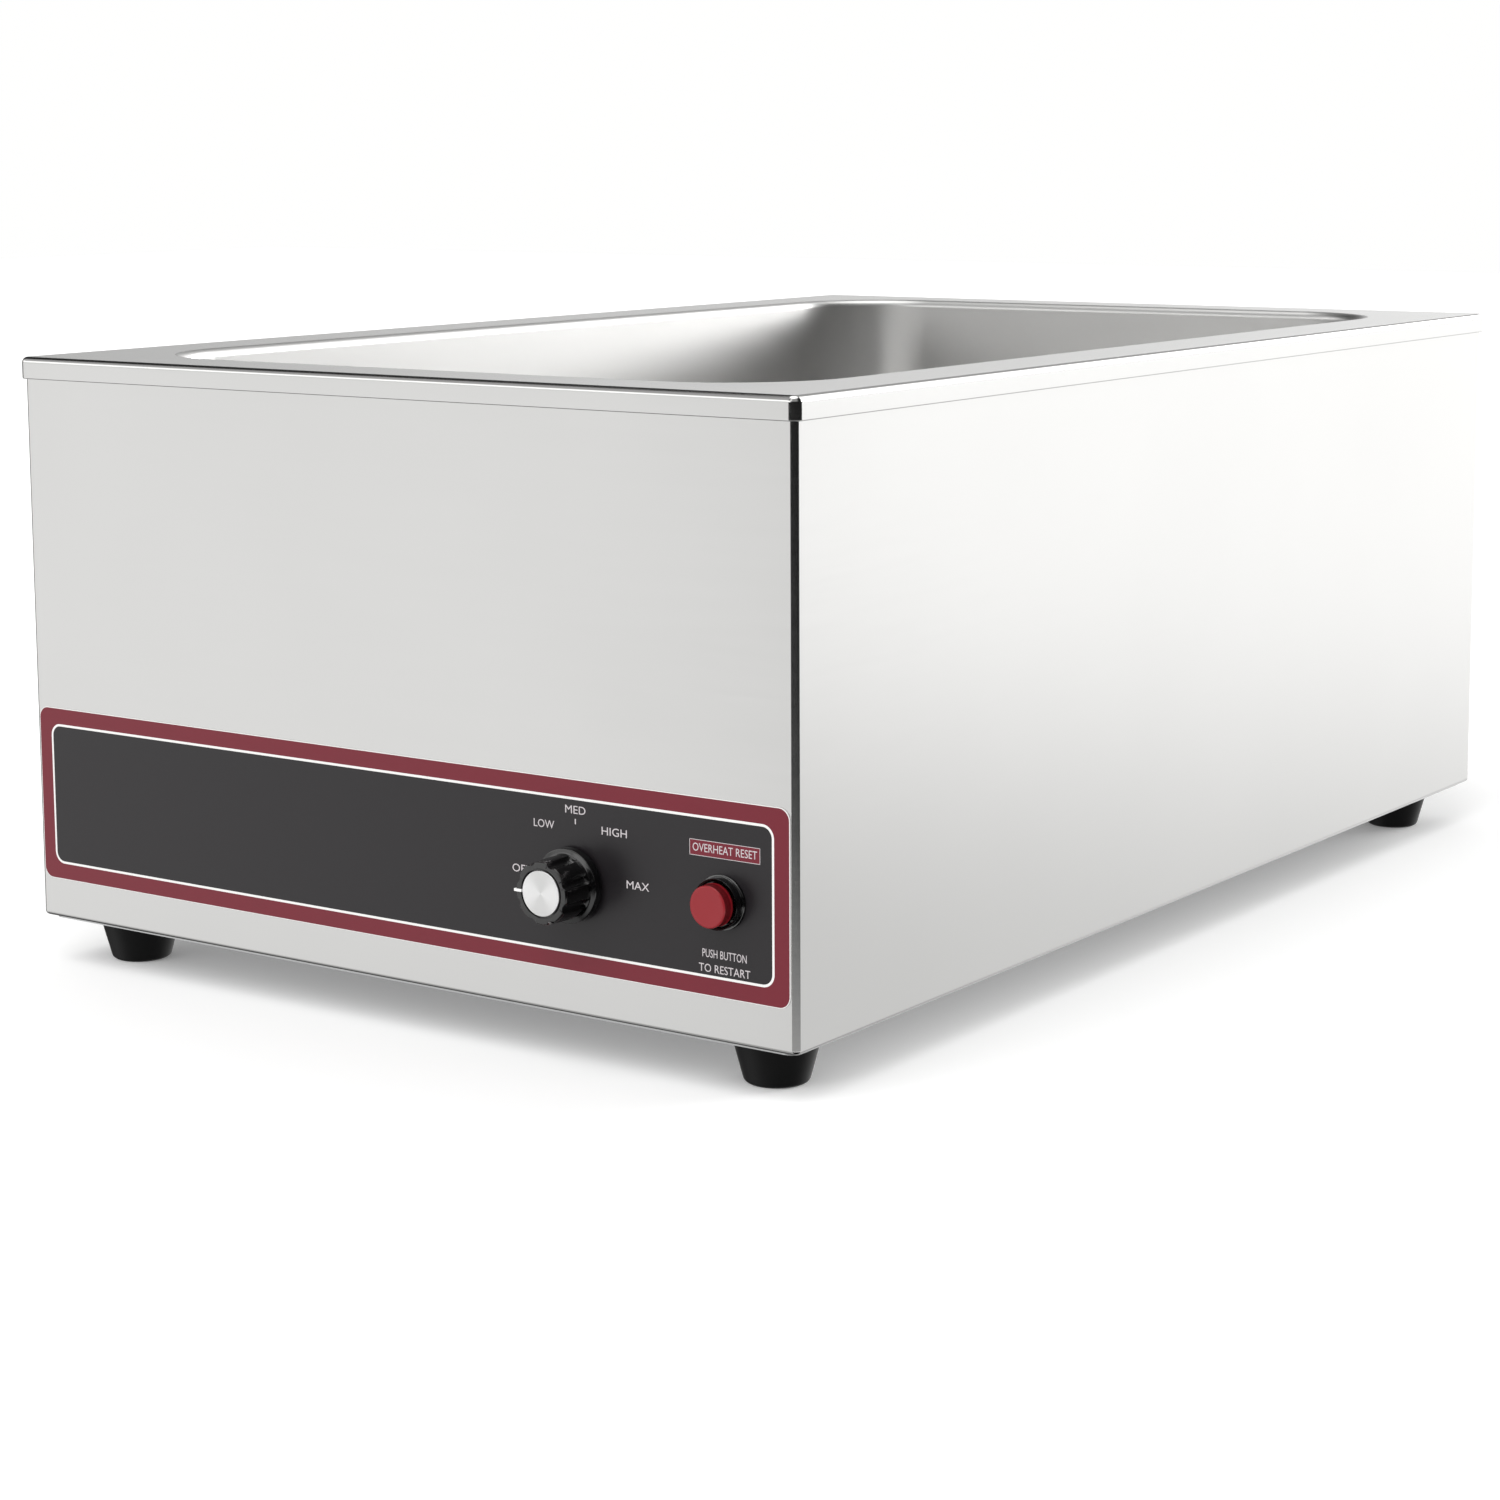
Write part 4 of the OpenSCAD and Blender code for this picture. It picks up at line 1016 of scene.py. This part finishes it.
class WARMER_OT_button(bpy.types.Operator):
    """Red cap on its stem, black bezel and return spring"""
    bl_idname = "warmer.button"
    bl_label = "Button"

    def execute(self, context):
        look = finishes(context.scene)
        self.cap(look)
        self.bezel(look)
        self.spring(look)
        return {"FINISHED"}

    def cap(self, look):
        stem = [(0.0019, -0.0120), (0.0020, -0.0119), (0.0020, 0.0048)]
        skirt = [(0.00735, 0.0048), (0.00755, 0.0050), (0.00755, 0.0056), (0.0074, 0.0059),
                 (0.0074, 0.0090)]
        crown = bend(0.0007, 0, 90, 5, 0.0067, 0.0090) + [(0.0055, 0.00968), (0.0030, 0.00962)]
        cap = lathe("red_button", stem + skirt + crown, 72, cap_first=True, cap_last=True)
        smooth(cap)
        dress(cap, look["button_red"], look["button_painted_shade"])
        # Faces that look sideways take the darker red, painted shade on the cap's sides
        for face in cap.data.polygons:
            face.material_index = 1 if face.normal.z < 0.3 else 0
        on_panel(cap, BUTTON.x, BUTTON.z)
        settle(cap, "button", "button_red", "reset_button")

    def bezel(self, look):
        body, flange_z, flange_top = 0.0070, 0.0013, 0.0017
        flange = [(body, 0.0005), (0.0097, 0.0005), (0.0097, flange_z)]
        flange += bend(0.0003, 0, 90, 4, 0.0094, flange_z) + [(0.0091, 0.0016)]
        collar = [(0.0090, flange_top), (0.0090, 0.0049)] + bend(0.0001, 0, 80, 3, 0.0089, 0.0049)
        bore = [(0.00775, 0.0042), (0.00775, 0.0028), (0.0052, 0.0028), (0.0052, -0.0085),
                (0.00205, -0.0085), (0.00205, -0.0100)]
        back = [(0.0068, -0.0100), (body, -0.0098), (body, 0.0005)]
        bezel = lathe("button_bezel", flange + collar + bore + back, 72, closed=True)
        smooth(bezel)
        dress(bezel, look["bezel_plastic"], look["bezel_edge"])
        for face in bezel.data.polygons:
            on_flange = face.normal.z > 0.5 and flange_z < face.center.z < flange_top
            face.material_index = 1 if on_flange else 0
        on_panel(bezel, BUTTON.x, BUTTON.z)
        settle(bezel, "cabinet", "black_plastic", "reset_bezel")

    def spring(self, look):
        low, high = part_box("reset_spring")
        free = high.y - low.y
        wire, coil, turns = 0.0004, 0.0038, 5
        steps = turns * 24
        deselect()
        bpy.ops.mesh.primitive_circle_add(vertices=10, radius=wire, rotation=(QUARTER, 0, 0),
                                          location=(coil, 0, -high.y + FRONT_Y + wire))
        spring = named("return_spring")
        apply_place()
        apply_modifier(spring, "SCREW", angle=turns * TURN, screw_offset=free - 2 * wire,
                       iterations=1, steps=steps, render_steps=steps, use_merge_vertices=False)
        edit_all(spring)
        bpy.ops.mesh.fill_holes(sides=0)
        outward()
        object_mode()
        smooth(spring, 50.0, False)
        dress(spring, look["plated_steel"])
        on_panel(spring, BUTTON.x, BUTTON.z)
        settle(spring, "cabinet", "plated_steel", "reset_spring")
        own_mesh(spring)


class WARMER_OT_feet(bpy.types.Operator):
    """Four tapered rubber feet with sunk screw holes"""
    bl_idname = "warmer.feet"
    bl_label = "Feet"

    def execute(self, context):
        look = finishes(context.scene)
        box_low, box_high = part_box(FEET[0])
        high = box_high.z - box_low.z
        top, low, edge = (box_high.x - box_low.x) / 2, 0.0115, 0.0025
        bore, recess, recess_top, chamfer = 0.0027, 0.0060, 0.0090, 0.0003
        # The rounding at the bottom is tangent to the leaning side
        side = math.hypot(top - low, high)
        centre = low + edge * (top - low - side) / high
        lean = -math.degrees(math.asin((top - low) / side))
        stations = [(bore, high), (top - 0.0004, high), (top - 0.0001, high - chamfer)]
        stations += [(low + (top - low) * 0.55, high * 0.55)]
        stations += bend(edge, lean, -90, 7, centre, edge)
        stations += [(recess + chamfer, 0.0), (recess, chamfer), (recess, recess_top),
                     (bore, recess_top), (bore, high)]
        for node in FEET:
            foot = lathe("rubber_" + node, stations, 64, closed=True)
            smooth(foot)
            dress(foot, look["foot_rubber"])
            place = middle(node)
            put(foot, (place.x, place.y, 0))
            settle(foot, "cabinet", "foot_rubber", node)
        return {"FINISHED"}


class WARMER_OT_gland(bpy.types.Operator):
    """Cord gland with its hexagon and ribbed dome nut"""
    bl_idname = "warmer.gland"
    bl_label = "Cord gland"

    def execute(self, context):
        look = finishes(context.scene)
        bore, thread, nut = 0.0042, 0.0075, 0.0100
        back, dome_low, dome_high = -0.0130, 0.0110, 0.0160
        stations = [(bore, back), (thread - 0.0002, back), (thread, back + 0.0002),
                    (thread, 0.0020), (nut, 0.0020), (nut, dome_low)]
        for a in (0.3, 0.6, 0.9, 1.2):
            rise = math.sin(a)
            stations += [(nut - 0.0020 * rise ** 2, dome_low + (dome_high - dome_low) * rise)]
        stations += [(0.0081, dome_high - 0.0001), (0.0079, dome_high), (bore, dome_high),
                     (bore, back)]
        gland = lathe("gland_body", stations, 64, closed=True)
        flats, thick, sixth = 0.011, 0.005, math.pi / 6
        hexagon = rod(flats / math.cos(sixth), thick, (0, 0, thick / 2), (0, 0, sixth), 6)
        round_edges(hexagon, 0.0004)
        boolean(hexagon, [rod(0.0060, 0.02, (0, 0, 0), steps=64)])
        boolean(gland, [hexagon], "UNION")
        # Grooves that leave ribs round the nut
        grooves, ring = 10, nut + 0.0004
        angles = [k * TURN / grooves for k in range(grooves)]
        boolean(gland, [rod(0.0011, 0.009, (ring * math.cos(a), ring * math.sin(a), 0.0102),
                            steps=20) for a in angles])
        smooth(gland, 35.0)
        dress(gland, look["black_plastic"])
        on_rear(gland, GLAND.x, GLAND.z)
        settle(gland, "cabinet", "black_plastic", "cord_gland")
        return {"FINISHED"}


class WARMER_OT_fasteners(bpy.types.Operator):
    """Seam rivets and cross-recessed screws under the base and in the feet"""
    bl_idname = "warmer.fasteners"
    bl_label = "Rivets and screws"

    def execute(self, context):
        look = finishes(context.scene)
        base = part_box("base_plate")[0].z
        low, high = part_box("foot_screws")
        foot_head = 3.0
        seat = low.z + foot_head / 1000
        reach = (high.z - seat) * 1000
        soles = [(middle(node).x, middle(node).y, seat) for node in FEET]
        rivets = copies(self.rivet(), [(x, 0, z) for x, z in RIVETS], "seam_rivet_row")
        base_set = copies(self.screw(3.6, 1.3, 1.9, 7.0), [(x, y, base) for x, y in BASE_SCREWS],
                          "base_screw_set")
        foot_set = copies(self.screw(4.5, foot_head, 2.5, reach), soles, "foot_screw_set")
        for obj, node in ((rivets, "seam_rivets"), (base_set, "base_screws"),
                          (foot_set, "foot_screws")):
            smooth(obj)
            dress(obj, look["plated_steel"])
            settle(obj, "cabinet", "plated_steel", node)
        return {"FINISHED"}

    def turned(self, name, points):
        """Turned piece from a section in millimetres"""
        return lathe(name, [(r / 1000, z / 1000) for r, z in points], 32,
                     cap_first=True, cap_last=True)

    def rivet(self):
        """Rivet with its tail inside the wall and a domed head"""
        crown, sunk = 5.6, 4.6
        points = [(2.4, -3.2), (2.6, -3.0), (2.6, -2.0), (1.6, -2.0), (1.6, 0.0), (3.1, 0.0)]
        points += [(crown * math.sin(a), crown * math.cos(a) - sunk)
                   for a in (0.60, 0.5, 0.4, 0.3, 0.2, 0.1)]
        rivet = self.turned("rivet", points)
        on_rear(rivet, 0, 0)
        return rivet

    def screw(self, head, height, shank, reach):
        """Pan head screw, head down, in millimetres, with its seat at the origin"""
        points = [(shank * 0.7, reach), (shank, reach - 0.6), (shank, 0.0), (head - 0.1, 0.0),
                  (head, -0.1)]
        dome = ((1, 0.3), (1, 0.55), (0.93, 0.78), (0.78, 0.93), (0.55, 1))
        points += [(head * r, -height * z) for r, z in dome]
        screw = self.turned("screw", points)
        arm = (head * 1.25 / 1000, head * 0.26 / 1000, height / 1000)
        for turn in (math.pi / 4, -math.pi / 4):
            boolean(screw, [slab(arm, (0, 0, -height / 1000), (0, 0, turn))])
        return screw


class WARMER_OT_insulation(bpy.types.Operator):
    """Soft fibre boards round the well"""
    bl_idname = "warmer.insulation"
    bl_label = "Insulation"

    def execute(self, context):
        look = finishes(context.scene)
        play, rough, first_seed = 0.0012, 0.0005, 3
        for seed, node in enumerate(BOARDS, first_seed):
            low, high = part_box(node)
            slab([b - a - play for a, b in zip(low, high)], (low + high) / 2)
            board = named("fibre_" + node)
            subdivide(board, 9)
            edit_all(board)
            bpy.ops.transform.vertex_random(offset=rough, uniform=0.4, normal=0.4, seed=seed)
            object_mode()
            apply_modifier(board, "BEVEL", width=0.0008, segments=2, limit_method="ANGLE",
                           angle_limit=math.radians(50))
            smooth(board, 60.0, False)
            dress(board, look["wool_board"])
            settle(board, "cabinet", "wool_board", node)
        return {"FINISHED"}


class WARMER_OT_inner_parts(bpy.types.Operator):
    """Finishes for the solids that stay as they are"""
    bl_idname = "warmer.inner_parts"
    bl_label = "Inner parts"

    def execute(self, context):
        look = finishes(context.scene)
        for part in frame["record"]["subparts"]:
            dress(NODES[part["node"]], look[part["material_slot"]])
        return {"FINISHED"}


# Stage

class WARMER_OT_stage(bpy.types.Operator):
    """Pale floor, soft studio light and the camera"""
    bl_idname = "warmer.stage"
    bl_label = "Stage"

    def execute(self, context):
        scene = context.scene
        studio = scene.warmer_studio
        self.floor(studio)
        self.surround(scene)
        self.key_light(scene, studio)
        self.camera(scene, studio)
        scene.view_settings.view_transform = "Standard"
        return {"FINISHED"}

    def floor(self, studio):
        deselect()
        bpy.ops.mesh.primitive_plane_add(size=studio.floor_size, location=(0, 0, 0))
        floor = named("floor")
        dress(floor, finish(moulded, "floor_paper", studio.floor_colour, 0.9, fineness=60.0,
                            depth=0.00002, spread=0.05, contrast=0.01, level=0.1,
                            glow=studio.floor_glow))
        floor.visible_glossy = False

    def key_light(self, scene, studio):
        """Soft light from the front, which the steel doesn't mirror"""
        lamp = bpy.data.lights.new("key_soft", "SUN")
        lamp.energy = studio.key_strength
        lamp.angle = studio.key_spread
        obj = bpy.data.objects.new("key_soft", lamp)
        obj.location = studio.key_place
        obj.rotation_euler = Vector(studio.key_place).to_track_quat("Z", "Y").to_euler()
        obj.visible_glossy = False
        scene.collection.objects.link(obj)

    def surround(self, scene):
        """Studio that the steel mirrors: pale cove, softboxes, dark room on the camera's side

        Directions are degrees about Z from X. Heights are the z of a direction of length 1.
        """
        world = bpy.data.worlds.new("studio")
        scene.world = world
        world.use_nodes = True
        nt = world.node_tree
        nt.nodes.clear()
        coords = nt.nodes.new("ShaderNodeTexCoord")
        x, y, z = split_vector(nt, coords.outputs["Generated"])

        def plus(*values):
            return sums(nt, "ADD", *values)

        def times(*values):
            return sums(nt, "MULTIPLY", *values)

        def most(*values):
            return sums(nt, "MAXIMUM", *values)

        def rest(value):
            return sums(nt, "SUBTRACT", 1.0, value)

        def rise(*heights):
            return ramp(nt, z, *heights)

        # Level part of a direction, kept from zero
        level = sums(nt, "SQRT", most(plus(times(x, x), times(y, y)), 1e-6))

        def facing(azimuth):
            a = math.radians(azimuth)
            ahead = plus(times(x, math.cos(a)), times(y, math.sin(a)))
            return sums(nt, "DIVIDE", ahead, level)

        def sector(azimuth, inner, outer):
            """Full within the inner half-angle, nothing beyond the outer one"""
            return ramp(nt, facing(azimuth), math.cos(math.radians(outer)),
                        math.cos(math.radians(inner)))

        def softbox(strength, azimuth, inner, outer, lower, upper, fade=None):
            """Lit sector between two soft edges, which may fade upwards"""
            box = times(sector(azimuth, inner, outer), rise(*lower))
            if fade:
                box = times(box, rise(*fade))
            return times(box, rise(*upper, 1.0, 0.0), strength)

        # Cove: brighter on both sides, dimmer low down, in a band at the horizon, behind a flag
        # on the left, and at its upper and lower ends
        right, left = sector(62, 22, 68), sector(230, 30, 62)
        cove = plus(0.66, times(sector(112, 14, 26), 0.15), times(left, 0.43), times(right, 0.78))
        low = plus(times(rise(-0.29, -0.19, 0.85, 1.0), rest(right)),
                   times(rise(-0.25, -0.12, 0.60, 1.0), right))
        band = rest(times(rise(-0.03, 0.02), rise(0.085, 0.125, 0.25, -0.10)))
        flag = rest(times(sector(172, 14, 34), 0.75))
        ends = times(rise(-0.62, -0.42, 0.50, 1.0), rise(0.19, 0.29, 1.0, 0.10))
        cove = times(cove, low, band, flag, ends)
        # Softboxes: a strong one and a fill behind, three weaker ones in front, and one above
        box_right = softbox(18.5, 60, 18, 38, (0.03, 0.13), (0.64, 0.80), (0.16, 0.48, 1.0, 0.12))
        fill = softbox(0.42, 95, 22, 36, (0.18, 0.28), (0.64, 0.80))
        box_left = softbox(2.0, 228, 30, 45, (0.12, 0.24), (0.76, 0.88), (0.30, 0.52, 1.0, 0.24))
        box_front = softbox(1.1, 268, 8, 18, (0.16, 0.32), (0.80, 0.90))
        box_low = softbox(2.0, 252, 8, 16, (0.05, 0.12), (0.28, 0.45))
        above = times(rise(0.80, 0.92), 2.0)
        lit = most(cove, fill, box_right, box_left)
        # Dark room on the camera's side, lighter close to the floor and in one soft patch
        room = ramp(nt, facing(325), 0.05, 0.14)
        dark = plus(0.012, times(rise(-0.34, -0.22, 0.9, 0.0), rise(-0.62, -0.42)),
                    times(sector(312, 20, 55), rise(0.17, 0.34), 0.34))
        light = most(plus(times(lit, rest(room)), times(dark, room)), above, box_front, box_low)
        # Matt surfaces take an even dome, and less of it by way of the steel. The camera sees white.
        path = nt.nodes.new("ShaderNodeLightPath").outputs
        seen, matt = path["Is Camera Ray"], path["Is Diffuse Ray"]
        after = sums(nt, "MINIMUM", path["Diffuse Depth"], 1.0)
        light = plus(times(light, rest(after)), times(after, 0.38), times(matt, 0.32))
        back = nt.nodes.new("ShaderNodeBackground")
        feed(nt, back, {"Color": (1.0, 1.0, 0.995, 1.0),
                        "Strength": plus(times(light, rest(seen)), seen)})
        out = nt.nodes.new("ShaderNodeOutputWorld")
        nt.links.new(back.outputs["Background"], out.inputs["Surface"])

    def camera(self, scene, studio):
        yaw, pitch, roll = studio.aim
        ahead = Vector((-math.sin(yaw) * math.cos(pitch), math.cos(yaw) * math.cos(pitch),
                        -math.sin(pitch)))
        side = Vector((math.cos(yaw), math.sin(yaw), 0))
        over = side.cross(ahead)
        right = side * math.cos(roll) + over * math.sin(roll)
        up = over * math.cos(roll) - side * math.sin(roll)
        data = bpy.data.cameras.new("view")
        data.lens = studio.lens
        data.sensor_width = 36.0
        data.shift_y = studio.shift
        data.clip_start = 0.01
        obj = bpy.data.objects.new("view", data)
        turn = Matrix((right, up, -ahead)).transposed().to_4x4()
        obj.matrix_world = Matrix.Translation(Vector(studio.eye)) @ turn
        scene.collection.objects.link(obj)
        scene.camera = obj


class WARMER_PT_sidebar(bpy.types.Panel):
    """Steps and settings of the food warmer"""
    bl_idname = "WARMER_PT_sidebar"
    bl_label = "Food Warmer"
    bl_space_type = "VIEW_3D"
    bl_region_type = "UI"
    bl_category = "Warmer"

    def draw(self, context):
        layout = self.layout
        for step in STEPS:
            layout.operator(step.bl_idname)
        for key in SETTINGS:
            box = layout.box()
            values = getattr(context.scene, key)
            for prop in values.bl_rna.properties:
                if prop.identifier not in {"rna_type", "name"}:
                    box.prop(values, prop.identifier)


STEPS = (WARMER_OT_inner_parts, WARMER_OT_water_pan, WARMER_OT_casing, WARMER_OT_overlay,
         WARMER_OT_knob, WARMER_OT_button, WARMER_OT_feet, WARMER_OT_gland, WARMER_OT_fasteners,
         WARMER_OT_insulation, WARMER_OT_stage)
SETTINGS = {"warmer_sheet": WarmerSheet, "warmer_print": WarmerPrint,
            "warmer_controls": WarmerControls, "warmer_studio": WarmerStudio}


def register():
    for cls in (*SETTINGS.values(), *STEPS, WARMER_PT_sidebar):
        bpy.utils.register_class(cls)
    for key, cls in SETTINGS.items():
        setattr(bpy.types.Scene, key, PointerProperty(type=cls))


def unregister():
    for key in SETTINGS:
        delattr(bpy.types.Scene, key)
    for cls in reversed((*SETTINGS.values(), *STEPS, WARMER_PT_sidebar)):
        bpy.utils.unregister_class(cls)


def main():
    register()
    for step in STEPS:
        family, name = step.bl_idname.split(".")
        getattr(getattr(bpy.ops, family), name)()
    deselect()


if __name__ == "__main__":
    main()
